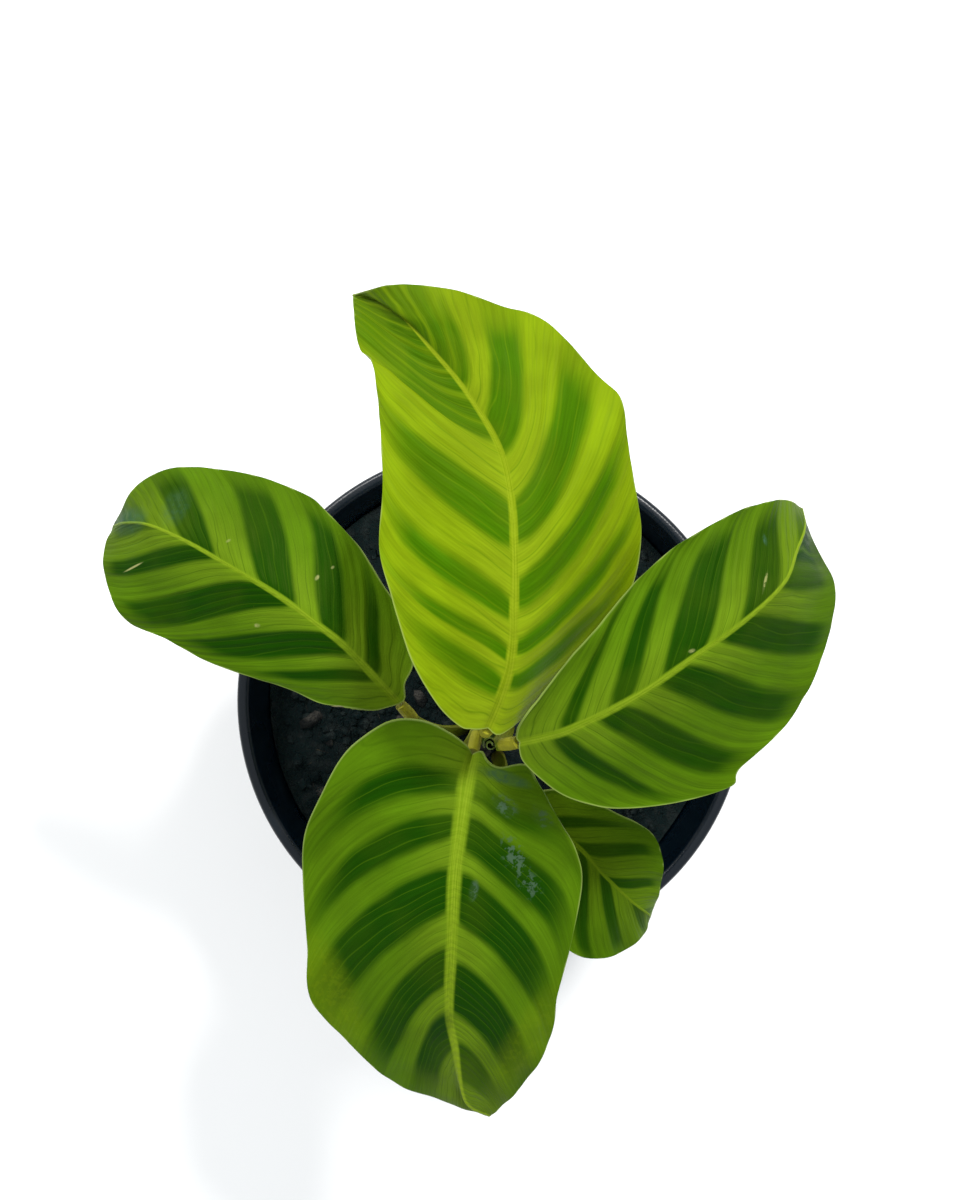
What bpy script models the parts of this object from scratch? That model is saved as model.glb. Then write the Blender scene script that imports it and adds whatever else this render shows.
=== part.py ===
"""A young calathea zebrina growing in a round nursery pot.

Sizes are in millimetres and are turned into metres when a mesh is made. +Z is up, and the
origin is the middle of the pot's flat underside. +X and +Y are right and up as one looks
straight down on the plant. Each leaf has a blade and a stalk. A blade is laid out along its
side veins: every row of its grid is one vein, from the midrib out to the margin.
"""

import math
from dataclasses import dataclass

import bmesh
import bpy
from mathutils import Vector

MM = 0.001
FIT_GAP = 0.3

# Curves and shading
CURVE_STEPS = 8
ARC_STEPS = 4
DIRECTION_REACH = 0.02
MERGE_DISTANCE = 0.001
SHARP_ANGLE = 40.0
SOFT_SHARP_ANGLE = 60.0

# Pot
POT_HEIGHT = 160.0
POT_RIM_RADIUS = 100.0
POT_RIM_WIDTH = 5.0
POT_RIM_ROUNDING = 2.0
POT_BASE_RADIUS = 72.0
POT_SHOULDER_RADIUS = 95.7
POT_SHOULDER_HEIGHT = 156.5
POT_WALL = 1.8
POT_FLOOR = 2.4
POT_BASE_ROUNDING = 1.5
COLLAR_DEPTH = 14.0
COLLAR_WALL = 1.7
COLLAR_TAPER = 0.3
RIM_UNDERCUT = 1.0
POT_SEGMENTS = 72
DRAIN_HOLES = 8
DRAIN_RADIUS = 5.0
DRAIN_SIDES = 16
DRAIN_CIRCLE = 56.0
CUT_OVERLAP = 2.0

# Soil
SOIL_LEVEL = 135.0
SOIL_EDGE_DROP = 3.0
SOIL_FOOT_GAP = 0.6
SOIL_RINGS = 9
SOIL_SEGMENTS = 54
MOUND_HEIGHT = 0.9
MOUND_LENGTHS = (9.0, 11.0)
MOUND_SHIFT = 1.3
LUMP_HEIGHT = 0.7
LUMP_LENGTHS = (5.1, 6.3)
LUMP_SHIFT = 0.7
HOLE_DEPTH = 26.0
HOLE_SIDES = 20
HOLE_CUT_RISE = 10.0
HOLE_CLEARANCE = 0.45

# Blades
BLADE_THICKNESS = 0.8
VEIN_ROWS = 22
VEIN_COLUMNS = (0.06, 0.22, 0.42, 0.62, 0.82, 1.0)
ROW_EASE = 1.4
VEIN_REACH = 0.3
VEIN_END_ANGLE = 18.0
VEIN_EDGE_ANGLE = 12.0
BASE_FADE = 6
ARCH_LEAD = 0.1
RIB_DEPTH = 2.6
RIB_TAPER = 0.8
MARGIN_WAVE = 0.9
MARGIN_WAVES = 5.0
MARGIN_WAVE_FADE = 3

# Stalks
STALK_SIDES = 12
STALK_STEPS = 13
FOOT_RADIUS = 2.9
FOOT_TOP = SOIL_LEVEL + 3.0
STALK_RISE = 0.5
STALK_HEADING_STEP = 0.01
WING_HALF_WIDTH = 3.6
WING_PEAK = 1.6
CHANNEL_DEPTH = 1.3
CHANNEL_TAPER = 0.7
NECK_RADIUS = 1.8
NECK_BEND = 8.0
PULVINUS_RADIUS = 2.15
PULVINUS_STEPS = 6
PULVINUS_SHOULDER = 0.12
PULVINUS_DROP = 1.7
PULVINUS_GAP = 0.48
BASE_HEADING_SHARE = 0.03

# Rolled young leaf
ROLL_FOOT = Vector((-1.2, -15.8, 0.0))
ROLL_TOP = Vector((-0.6, -14.8, 186.0))
ROLL_INNER_RADIUS = 0.9
ROLL_PITCH = 1.3
ROLL_TURNS = 1.6
ROLL_THICKNESS = 0.75
ROLL_POINT = 9.0
ROLL_POINT_POWER = 3
ROLL_STEPS_PER_TURN = 18
ROLL_FOOT_SCALE = 0.86
ROLL_STATIONS = ((0.0, ROLL_FOOT_SCALE), (0.3, ROLL_FOOT_SCALE), (0.55, 1.0), (0.8, 1.0), (1.0, 0.9))

# Dried sheath
SHEATH_FOOT = Vector((-6.3, -10.6, 0.0))
SHEATH_DEPTH = 13.0
SHEATH_HEIGHT = 27.0
SHEATH_SPREAD_HEIGHT = 5.0
SHEATH_TAPER_HEIGHT = 17.0
SHEATH_HALF_WIDTH = 2.3
SHEATH_HALF_THICKNESS = 0.4
SHEATH_TIP_HALF_WIDTH = 0.5
SHEATH_FOOT_RADIUS = 0.8
SHEATH_HOLE_SIDES = 12


@dataclass(frozen=True)
class Finish:
    """Colour, roughness and metallic value of one material."""

    name: str
    colour: tuple
    roughness: float
    metallic: float = 0.0


@dataclass(frozen=True)
class Fan:
    """How the side veins of one half of a blade spread from the midrib to the margin.

    The first vein meets the margin at the share first of its length. Later veins meet it ahead
    of their roots, by lag near the base and by surge near the tip. lean is a vein's angle to
    the midrib at the base, and close is how much smaller that angle is at the tip.
    """

    first: float
    lag: float
    surge: float
    lean: float
    close: float

    def margin_share(self, share):
        """Return the share of the margin where the vein from a share of the midrib ends."""
        ahead = 1 - (1 - share ** self.lag) ** self.surge
        return self.first + (1 - self.first) * ahead


@dataclass(frozen=True)
class Leaf:
    """One leaf: points along its midrib and both margins, and where its stalk stands."""

    place: str
    midrib: tuple
    left: tuple
    right: tuple
    fans: tuple
    foot: tuple
    arch: float
    pulvinus_length: float
    pulvinus_pitch: float
    blade: Finish
    stalk: Finish


LIME = Finish("lime_blade", (0.26, 0.42, 0.015), 0.42)
GREEN = Finish("green_blade", (0.09, 0.23, 0.012), 0.4)
OLIVE = Finish("olive_stalk", (0.25, 0.27, 0.03), 0.5)
DARK_LEAF = Finish("rolled_leaf", (0.05, 0.12, 0.01), 0.45)
DRIED = Finish("dried_sheath", (0.22, 0.13, 0.09), 0.8)
BLACK_PLASTIC = Finish("black_plastic", (0.006, 0.011, 0.015), 0.35)
POTTING_MIX = Finish("potting_mix", (0.012, 0.014, 0.014), 0.95)

LEAVES = (
    Leaf(
        place="back",
        midrib=((-2, -1, 298), (2, 9, 303), (5, 20, 307), (6, 35, 310), (6, 56, 311), (5, 72, 309),
                (1, 88, 306), (-9, 105, 302), (-20, 119, 297), (-30, 131, 291), (-37, 137, 285),
                (-46, 139, 278)),
        left=((-7, -1, 299), (-11, 0, 300), (-18, 7, 302), (-26, 21, 304), (-32, 40, 304),
              (-36, 56, 303), (-35, 78, 301), (-38, 112, 294), (-43, 120, 290), (-45, 130, 285),
              (-46, 139, 278)),
        right=((1, -3, 297), (5, -1, 295), (10, 3, 291), (21, 12, 287), (34, 27, 286), (44, 43, 288),
               (47, 60, 291), (45, 74, 294), (42, 90, 296), (40, 103, 298), (33, 110, 298),
               (16, 127, 300), (2, 132, 300), (-12, 137, 298), (-30, 140, 293), (-41, 139, 286),
               (-46, 139, 278)),
        fans=(Fan(first=0.16, lag=0.92, surge=2.1, lean=53, close=13),
              Fan(first=0.2, lag=0.89, surge=1.36, lean=69, close=19)),
        foot=(1.0, -3.0),
        arch=2,
        pulvinus_length=8.0,
        pulvinus_pitch=76.0,
        blade=LIME,
        stalk=OLIVE,
    ),
    Leaf(
        place="left",
        midrib=((-32, 4, 252), (-39, 12, 256), (-50, 24, 260), (-60, 32, 262), (-72, 41, 263),
                (-87, 50, 262), (-103, 59, 258), (-117, 65, 252), (-127, 66, 246), (-133, 65, 236)),
        left=((-36, 3, 252), (-41, 2, 251), (-49, 3, 250), (-59, 4, 249), (-70, 9, 249), (-86, 14, 248),
              (-100, 19, 246), (-113, 26, 243), (-127, 32, 240), (-134, 43, 238), (-136, 56, 237),
              (-133, 65, 236)),
        right=((-30, 6, 253), (-30, 11, 254), (-27, 19, 256), (-30, 33, 257), (-38, 46, 257),
               (-45, 57, 256), (-57, 70, 255), (-63, 75, 254), (-78, 81, 253), (-93, 84, 252),
               (-107, 85, 250), (-118, 82, 247), (-125, 77, 243), (-129, 71, 239), (-133, 65, 236)),
        fans=(Fan(first=0.14, lag=0.6, surge=1.45, lean=39, close=24),
              Fan(first=0.16, lag=0.7, surge=1.09, lean=52, close=24)),
        foot=(-11, -12),
        arch=2,
        pulvinus_length=8.0,
        pulvinus_pitch=34.0,
        blade=GREEN,
        stalk=OLIVE,
    ),
    Leaf(
        place="right",
        midrib=((8, -6, 291), (16, -4, 294), (25, -1, 297), (44, 9, 301), (63, 22, 302), (80, 34, 299),
                (92, 45, 294), (97, 55, 288), (101, 63, 281), (102, 70, 270)),
        left=((7, -4, 292), (8, 0, 295), (12, 6, 299), (23, 21, 303), (33, 32, 304), (42, 43, 303),
              (55, 55, 301), (68, 63, 298), (78, 68, 294), (88, 71, 288), (95, 72, 281), (102, 70, 270)),
        right=((8, -8, 290), (10, -13, 288), (20, -22, 285), (29, -26, 284), (41, -28, 283),
               (60, -26, 282), (77, -21, 281), (80, -15, 281), (96, 0, 280), (107, 21, 279),
               (111, 36, 277), (111, 47, 276), (106, 56, 275), (103, 64, 273), (102, 70, 270)),
        fans=(Fan(first=0.13, lag=0.51, surge=1.13, lean=50, close=40),
              Fan(first=0.16, lag=0.65, surge=1.06, lean=57, close=22)),
        foot=(6.5, -10.5),
        arch=2,
        pulvinus_length=8.0,
        pulvinus_pitch=48.0,
        blade=GREEN,
        stalk=OLIVE,
    ),
    Leaf(
        place="front",
        midrib=((-7, -12, 262), (-9, -21, 266), (-11, -35, 269), (-13, -53, 270), (-14, -76, 266),
                (-15, -99, 257), (-13, -114, 250), (-11, -131, 241), (-8, -138, 236), (-1, -143, 229)),
        left=((-9, -9, 264), (-14, -5, 266), (-22, -1, 267), (-31, 0, 267), (-39, -3, 266),
              (-50, -12, 263), (-58, -26, 259), (-64, -40, 255), (-65, -56, 251), (-64, -80, 246),
              (-63, -99, 242), (-50, -114, 241), (-36, -128, 237), (-19, -136, 233), (-9, -140, 231),
              (-1, -143, 229)),
        right=((-4, -11, 264), (-2, -14, 266), (2, -16, 268), (11, -15, 270), (15, -23, 267),
               (22, -34, 263), (28, -45, 260), (30, -57, 257), (26, -80, 252), (22, -96, 248),
               (21, -107, 245), (17, -119, 241), (11, -129, 237), (4, -138, 232), (-1, -143, 229)),
        fans=(Fan(first=0.24, lag=0.6, surge=1.2, lean=72, close=22),
              Fan(first=0.2, lag=0.71, surge=1.8, lean=75, close=29)),
        foot=(-9.5, -20.5),
        arch=2.6,
        pulvinus_length=8.0,
        pulvinus_pitch=42.0,
        blade=GREEN,
        stalk=OLIVE,
    ),
    Leaf(
        place="low",
        midrib=((13, -35, 205), (21, -42, 209), (32, -51, 211), (40, -60, 210), (51, -71, 205),
                (58, -77, 199), (59, -80, 190)),
        left=((15, -33, 206), (19, -30, 208), (30, -30, 210), (43, -37, 210), (53, -42, 208),
              (60, -48, 204), (63, -58, 202), (62, -69, 198), (61, -73, 196), (59, -80, 190)),
        right=((11, -38, 204), (11, -47, 203), (12, -60, 203), (16, -75, 203), (23, -85, 202),
               (32, -92, 201), (40, -93, 200), (49, -91, 197), (57, -85, 193), (59, -80, 190)),
        fans=(Fan(first=0.2, lag=0.45, surge=0.98, lean=27, close=20),
              Fan(first=0.2, lag=0.75, surge=1.57, lean=39, close=20)),
        foot=(3, -24.5),
        arch=1.4,
        pulvinus_length=7.0,
        pulvinus_pitch=34.0,
        blade=GREEN,
        stalk=OLIVE,
    ),
)


def clear_scene():
    """Remove every object that the scene starts with."""
    for item in list(bpy.data.objects):
        bpy.data.objects.remove(item, do_unlink=True)


def make_material(finish):
    """Return the Principled material of a finish, made on first use."""
    material = bpy.data.materials.get(finish.name)
    if material is None:
        material = bpy.data.materials.new(finish.name)
        material.use_nodes = True
        shader = material.node_tree.nodes["Principled BSDF"]
        shader.inputs["Base Color"].default_value = (*finish.colour, 1.0)
        shader.inputs["Roughness"].default_value = finish.roughness
        shader.inputs["Metallic"].default_value = finish.metallic
    return material


def add_object(name, bm, finish=None, sharp_angle=SHARP_ANGLE):
    """Make an object of a bmesh in millimetres, with its faces turned outwards."""
    bmesh.ops.recalc_face_normals(bm, faces=bm.faces)
    bmesh.ops.scale(bm, vec=(MM, MM, MM), verts=bm.verts)
    mesh = bpy.data.meshes.new(name)
    bm.to_mesh(mesh)
    bm.free()
    mesh.shade_smooth()
    mesh.set_sharp_from_angle(angle=math.radians(sharp_angle))
    item = bpy.data.objects.new(name, mesh)
    bpy.context.collection.objects.link(item)
    if finish is not None:
        mesh.materials.append(make_material(finish))
    return item


def make_cutter(item):
    """Mark an object as one that only cuts others."""
    item.hide_render = True
    item.display_type = "WIRE"


def cut_by(target, cutter):
    """Take a cutter's volume out of a target with a Boolean that stays on the target."""
    make_cutter(cutter)
    modifier = target.modifiers.new(cutter.name, "BOOLEAN")
    modifier.operation = "DIFFERENCE"
    modifier.solver = "EXACT"
    modifier.object = cutter


def upright_cylinder(name, x, y, bottom, top, radius, sides):
    """Make a plain upright cylinder, used as a cutter."""
    bm = bmesh.new()
    bmesh.ops.create_cone(
        bm, cap_ends=True, segments=sides, radius1=radius, radius2=radius, depth=top - bottom
    )
    bmesh.ops.translate(bm, vec=(x, y, (top + bottom) / 2), verts=bm.verts)
    return add_object(name, bm)


# Curves


def catmull_rom(points):
    """Return a dense smooth polyline through the points."""
    knots = [Vector(point) for point in points]
    ahead = knots[-1] * 2 - knots[-2]
    behind = knots[0] * 2 - knots[1]
    padded = [behind, *knots, ahead]
    line = []
    for i in range(1, len(padded) - 2):
        before, start, end, after = padded[i - 1:i + 3]
        for step in range(CURVE_STEPS):
            t = step / CURVE_STEPS
            straight = start * 2
            slope = (end - before) * t
            bend = (before * 2 - start * 5 + end * 4 - after) * t ** 2
            twist = (start * 3 - before - end * 3 + after) * t ** 3
            line.append((straight + slope + bend + twist) * 0.5)
    line.append(knots[-1])
    return line


class Curve:
    """A smooth curve through points, read by its share of length from 0 to 1."""

    def __init__(self, points):
        self.line = catmull_rom(points)
        self.lengths = [0.0]
        for start, end in zip(self.line, self.line[1:]):
            self.lengths.append(self.lengths[-1] + (end - start).length)

    def at(self, share):
        """Return the point at a share of the length."""
        wanted = min(max(share, 0.0), 1.0) * self.lengths[-1]
        index = 1
        while index < len(self.lengths) - 1 and self.lengths[index] < wanted:
            index += 1
        span = self.lengths[index] - self.lengths[index - 1]
        part = (wanted - self.lengths[index - 1]) / span
        return self.line[index - 1].lerp(self.line[index], part)

    def direction(self, share):
        """Return the unit direction at a share of the length."""
        return (self.at(share + DIRECTION_REACH) - self.at(share - DIRECTION_REACH)).normalized()


def bezier(points, t):
    """Return the point at t of a Bezier curve of any degree."""
    points = list(points)
    while len(points) > 1:
        points = [start.lerp(end, t) for start, end in zip(points, points[1:])]
    return points[0]


# Blades


def margin_curve(leaf, side):
    """Return the margin curve of one side, from the blade's base to its tip."""
    outline = leaf.left if side == 0 else leaf.right
    return Curve((leaf.midrib[0], *outline))


def vein_points(leaf, fan, midrib, margin, share):
    """Return the four points of the vein's curve that leaves the midrib at a share of it.

    A vein ends at a steeper angle to the midrib than the margin has there, so that it meets
    the margin from the inside.
    """
    edge_share = fan.margin_share(share)
    start = midrib.at(share)
    end = margin.at(edge_share)
    along = midrib.direction(share)
    chord = end - start
    sideways = (chord - along * chord.dot(along)).normalized()
    lean = math.radians(fan.lean - fan.close * share)
    edge = margin.direction(edge_share)
    edge_lean = math.atan2(edge.dot(sideways), edge.dot(along)) + math.radians(VEIN_EDGE_ANGLE)
    end_lean = max(math.radians(VEIN_END_ANGLE), edge_lean)
    reach = chord.length * VEIN_REACH
    near = start + (along * math.cos(lean) + sideways * math.sin(lean)) * reach
    far = end - (along * math.cos(end_lean) + sideways * math.sin(end_lean)) * reach
    lift = leaf.arch * math.sin(math.pi * min(share + ARCH_LEAD, 1.0))
    near.z += lift
    far.z += lift
    return start, near, far, end


def vein_row(leaf, fan, midrib, margin, share):
    """Return points along one vein. Close to the base the veins take the basal edge's form."""
    vein = vein_points(leaf, fan, midrib, margin, share)
    first = vein_points(leaf, fan, midrib, margin, 0.0)
    base_weight = (1 - share) ** BASE_FADE
    wave = MARGIN_WAVE * math.sin(math.pi * share) * math.sin(MARGIN_WAVES * math.tau * share)
    row = []
    for column in VEIN_COLUMNS:
        to_edge = margin.at(fan.first * column) - bezier(first, column)
        point = bezier(vein, column) + to_edge * base_weight
        point.z += wave * column ** MARGIN_WAVE_FADE
        row.append(point)
    return row


def blade_rows(leaf):
    """Return the blade's rows of points across both sides, without the tip."""
    midrib = Curve(leaf.midrib)
    margins = [margin_curve(leaf, side) for side in (0, 1)]
    rows = []
    for i in range(VEIN_ROWS):
        share = (i / VEIN_ROWS) ** ROW_EASE
        sides = [vein_row(leaf, fan, midrib, margin, share) for fan, margin in zip(leaf.fans, margins)]
        rows.append([*reversed(sides[0]), midrib.at(share), *sides[1]])
    return rows


def sheet_triangles(row_count, width):
    """Return triangles over rows of points that end in one tip point."""
    triangles = []
    for i in range(row_count - 1):
        for j in range(width - 1):
            a = i * width + j
            b = a + 1
            c = a + width
            d = c + 1
            if j < width // 2:
                triangles += [(a, b, c), (b, d, c)]
            else:
                triangles += [(a, b, d), (a, d, c)]
    tip = row_count * width
    last = (row_count - 1) * width
    for j in range(width - 1):
        triangles.append((last + j, last + j + 1, tip))
    return triangles


def sheet_border(row_count, width):
    """Return the border of the sheet as a closed loop of point numbers."""
    base = list(range(width))
    right = [i * width + width - 1 for i in range(1, row_count)]
    left = [i * width for i in range(row_count - 1, 0, -1)]
    return [*base, *right, row_count * width, *left]


def sheet_normals(points, triangles):
    """Return a unit normal for each point of the sheet, pointing upwards."""
    normals = [Vector((0, 0, 0)) for _ in points]
    for a, b, c in triangles:
        normal = (points[b] - points[a]).cross(points[c] - points[a])
        if normal.z < 0:
            normal.negate()
        for number in (a, b, c):
            normals[number] += normal
    return [normal.normalized() for normal in normals]


def rib_depths(row_count, width):
    """Return how far the underside stands out below each point, for the raised midrib."""
    depths = [0.0] * (row_count * width + 1)
    for i in range(row_count):
        depths[i * width + width // 2] = RIB_DEPTH * (1 - i / row_count) ** RIB_TAPER
    return depths


def make_blade(leaf):
    """Make one blade as a closed sheet with a raised midrib below."""
    rows = blade_rows(leaf)
    width = len(rows[0])
    points = [point for row in rows for point in row]
    points.append(Vector(leaf.midrib[-1]))
    triangles = sheet_triangles(len(rows), width)
    normals = sheet_normals(points, triangles)
    depths = rib_depths(len(rows), width)
    half = BLADE_THICKNESS / 2
    bm = bmesh.new()
    top = [bm.verts.new(point + normal * half) for point, normal in zip(points, normals)]
    bottom = []
    for point, normal, depth in zip(points, normals, depths):
        bottom.append(bm.verts.new(point - normal * (half + depth)))
    for a, b, c in triangles:
        bm.faces.new((top[a], top[b], top[c]))
        bm.faces.new((bottom[c], bottom[b], bottom[a]))
    border = sheet_border(len(rows), width)
    for a, b in zip(border, [*border[1:], border[0]]):
        bm.faces.new((top[a], bottom[a], bottom[b]))
        bm.faces.new((top[a], bottom[b], top[b]))
    return add_object(f"blade_{leaf.place}", bm, leaf.blade, sharp_angle=SOFT_SHARP_ANGLE)


# Stalks


@dataclass
class Station:
    """One cross-section of a stalk: its middle, heading, half sizes and channel."""

    centre: Vector
    heading: Vector
    half_width: float
    half_depth: float
    channel: float = 0.0


def section_ring(station, inner_side):
    """Return the ring of points of a station, with its channel on the inner side."""
    up = inner_side - station.heading * inner_side.dot(station.heading)
    up.normalize()
    side = station.heading.cross(up)
    ring = []
    for i in range(STALK_SIDES):
        angle = math.tau * i / STALK_SIDES
        across = math.sin(angle) * station.half_width
        high = math.cos(angle) * station.half_depth
        high -= station.channel * max(math.cos(angle), 0.0) ** 2
        ring.append(station.centre + side * across + up * high)
    return ring


def sweep(name, stations, inner_side, finish):
    """Make a closed solid through a list of stations."""
    bm = bmesh.new()
    rings = []
    for station in stations:
        rings.append([bm.verts.new(point) for point in section_ring(station, inner_side)])
    bm.faces.new(list(reversed(rings[0])))
    bm.faces.new(rings[-1])
    for lower, upper in zip(rings, rings[1:]):
        for i in range(STALK_SIDES):
            j = (i + 1) % STALK_SIDES
            bm.faces.new((lower[i], lower[j], upper[j]))
            bm.faces.new((lower[i], upper[j], upper[i]))
    return add_object(name, bm, finish, sharp_angle=SOFT_SHARP_ANGLE)


def pulvinus_ends(leaf):
    """Return the lower and upper end of the thick joint between stalk and blade."""
    base = Vector(leaf.midrib[0])
    outward = Curve(leaf.midrib).direction(BASE_HEADING_SHARE)
    outward.z = 0.0
    outward.normalize()
    pitch = math.radians(leaf.pulvinus_pitch)
    heading = outward * math.cos(pitch) + Vector((0, 0, math.sin(pitch)))
    upper = base - heading * PULVINUS_GAP - Vector((0, 0, PULVINUS_DROP))
    lower = upper - heading * leaf.pulvinus_length
    return lower, upper, heading


def stalk_stations(leaf):
    """Return the stations of a stalk, from its foot in the soil up to the blade."""
    lower, upper, heading = pulvinus_ends(leaf)
    x, y = leaf.foot
    upright = Vector((0, 0, 1))
    foot = Vector((x, y, SOIL_LEVEL - HOLE_DEPTH + FIT_GAP))
    ground = Vector((x, y, FOOT_TOP))
    stations = [Station(foot, upright, FOOT_RADIUS, FOOT_RADIUS)]
    height = lower.z - ground.z
    handles = (ground, ground + upright * height * STALK_RISE, lower - heading * NECK_BEND, lower)
    for i in range(STALK_STEPS):
        t = i / STALK_STEPS
        centre = bezier(handles, t)
        ahead = bezier(handles, t + STALK_HEADING_STEP)
        direction = (ahead - bezier(handles, t - STALK_HEADING_STEP)).normalized()
        if i == 0:
            direction = upright
        wing = math.sin(math.pi * min(t * WING_PEAK, 1.0)) ** 2
        plain = FOOT_RADIUS + (NECK_RADIUS - FOOT_RADIUS) * t
        half_width = plain + (WING_HALF_WIDTH - FOOT_RADIUS) * wing
        channel = plain * CHANNEL_DEPTH * math.sin(math.pi * t) ** CHANNEL_TAPER
        stations.append(Station(centre, direction, half_width, plain, channel))
    for i in range(PULVINUS_STEPS + 1):
        t = i / PULVINUS_STEPS
        bulge = math.sin(math.pi * (PULVINUS_SHOULDER + (1 - 2 * PULVINUS_SHOULDER) * t))
        radius = NECK_RADIUS + (PULVINUS_RADIUS - NECK_RADIUS) * bulge
        stations.append(Station(lower.lerp(upper, t), heading, radius, radius))
    return stations


def make_stalk(leaf):
    """Make the winged stalk of one leaf with its thick joint at the blade."""
    outward = Curve(leaf.midrib).direction(BASE_HEADING_SHARE)
    inner_side = Vector((-outward.x, -outward.y, 1.0))
    return sweep(f"stalk_{leaf.place}", stalk_stations(leaf), inner_side, leaf.stalk)


# Centre of the plant


def roll_section(scale, base, climb):
    """Return the outer and inner points of the rolled leaf's spiral section."""
    count = int(ROLL_TURNS * ROLL_STEPS_PER_TURN)
    outer = []
    inner = []
    for i in range(count + 1):
        share = i / count
        angle = math.tau * ROLL_TURNS * share
        radius = ROLL_INNER_RADIUS + ROLL_PITCH * ROLL_TURNS * share
        direction = Vector((math.cos(angle), math.sin(angle), 0))
        rise = Vector((0, 0, climb * (1 - share)))
        outer.append(base + rise + direction * scale * (radius + ROLL_THICKNESS / 2))
        inner.append(base + rise + direction * scale * (radius - ROLL_THICKNESS / 2))
    return outer, inner


def make_rolled_leaf():
    """Make the young leaf that is still rolled up in the middle of the plant."""
    bm = bmesh.new()
    foot = ROLL_FOOT + Vector((0, 0, SOIL_LEVEL - HOLE_DEPTH + FIT_GAP))
    sections = []
    for share, scale in ROLL_STATIONS:
        base = foot.lerp(ROLL_TOP, share)
        outer, inner = roll_section(scale, base, ROLL_POINT * share ** ROLL_POINT_POWER)
        sections.append(([bm.verts.new(p) for p in outer], [bm.verts.new(p) for p in inner]))
    for outer, inner in (sections[0], sections[-1]):
        for i in range(len(outer) - 1):
            bm.faces.new((outer[i], outer[i + 1], inner[i + 1], inner[i]))
    for (outer, inner), (next_outer, next_inner) in zip(sections, sections[1:]):
        lower = [*outer, *reversed(inner)]
        upper = [*next_outer, *reversed(next_inner)]
        for i, point in enumerate(lower):
            j = (i + 1) % len(lower)
            bm.faces.new((point, lower[j], upper[j], upper[i]))
    return add_object("rolled_young_leaf", bm, DARK_LEAF)


def make_dried_sheath():
    """Make the torn dry sheath of an old leaf that stands beside the stalks."""
    bottom = SOIL_LEVEL - SHEATH_DEPTH + FIT_GAP
    ground = FOOT_TOP - bottom
    rises = ((0.0, SHEATH_FOOT_RADIUS, SHEATH_FOOT_RADIUS),
             (ground, SHEATH_FOOT_RADIUS, SHEATH_FOOT_RADIUS),
             (ground + SHEATH_SPREAD_HEIGHT, SHEATH_HALF_WIDTH, SHEATH_HALF_THICKNESS),
             (ground + SHEATH_TAPER_HEIGHT, SHEATH_HALF_WIDTH, SHEATH_HALF_THICKNESS),
             (ground + SHEATH_HEIGHT, SHEATH_TIP_HALF_WIDTH, SHEATH_HALF_THICKNESS))
    stations = []
    for rise, half_width, half_depth in rises:
        centre = SHEATH_FOOT + Vector((0, 0, bottom + rise))
        stations.append(Station(centre, Vector((0, 0, 1)), half_width, half_depth))
    return sweep("dried_sheath", stations, Vector((1, 0, 0)), DRIED)


# Pot and soil


def wall_radius(z):
    """Return the pot wall's outer radius at a height."""
    share = z / POT_SHOULDER_HEIGHT
    return POT_BASE_RADIUS + (POT_SHOULDER_RADIUS - POT_BASE_RADIUS) * share


def quarter_arc(centre_r, centre_z, radius, start):
    """Return the points of a quarter circle in the profile, from a start angle in degrees."""
    points = []
    for i in range(ARC_STEPS + 1):
        angle = math.radians(start + 90.0 * i / ARC_STEPS)
        points.append((centre_r + radius * math.cos(angle), centre_z + radius * math.sin(angle)))
    return points


def pot_profile():
    """Return the pot's profile as radius and height, from the outer base to the inner floor."""
    rounding = POT_BASE_ROUNDING
    rim = POT_RIM_ROUNDING
    collar_inner = POT_RIM_RADIUS - COLLAR_WALL
    under_rim = POT_HEIGHT - 2 * rim
    wall_top = under_rim - RIM_UNDERCUT
    rim_middle = POT_RIM_RADIUS - POT_RIM_WIDTH + rim
    profile = [(0.0, 0.0)]
    profile += quarter_arc(wall_radius(0) - rounding, rounding, rounding, -90.0)
    profile.append((wall_radius(wall_top), wall_top))
    profile.append((collar_inner, wall_top))
    profile.append((collar_inner, POT_HEIGHT - COLLAR_DEPTH))
    profile.append((POT_RIM_RADIUS - COLLAR_TAPER, POT_HEIGHT - COLLAR_DEPTH))
    profile += quarter_arc(POT_RIM_RADIUS - rim, POT_HEIGHT - rim, rim, 0.0)
    profile += quarter_arc(rim_middle, POT_HEIGHT - rim, rim, 90.0)
    profile.append((wall_radius(under_rim) - POT_WALL, wall_top))
    profile.append((wall_radius(POT_FLOOR) - POT_WALL, POT_FLOOR))
    profile.append((0.0, POT_FLOOR))
    return profile


def ring_point(radius, number, count):
    """Return x and y of one of the points that share out a circle about the pot's axis."""
    angle = math.tau * number / count
    return radius * math.cos(angle), radius * math.sin(angle)


def make_pot():
    """Turn the pot from its profile and cut the drain holes in its floor."""
    bm = bmesh.new()
    verts = [bm.verts.new((radius, 0.0, z)) for radius, z in pot_profile()]
    edges = [bm.edges.new(pair) for pair in zip(verts, verts[1:])]
    bmesh.ops.spin(
        bm, geom=[*verts, *edges], axis=(0, 0, 1), cent=(0, 0, 0), angle=math.tau,
        steps=POT_SEGMENTS, use_merge=True
    )
    bmesh.ops.remove_doubles(bm, verts=bm.verts, dist=MERGE_DISTANCE)
    pot = add_object("pot", bm, BLACK_PLASTIC)
    for i in range(DRAIN_HOLES):
        x, y = ring_point(DRAIN_CIRCLE, i + 0.5, DRAIN_HOLES)
        cut_by(pot, upright_cylinder(
            f"drain_cutter_{i}", x, y, -CUT_OVERLAP, POT_FLOOR + CUT_OVERLAP, DRAIN_RADIUS, DRAIN_SIDES))
    return pot


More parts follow.
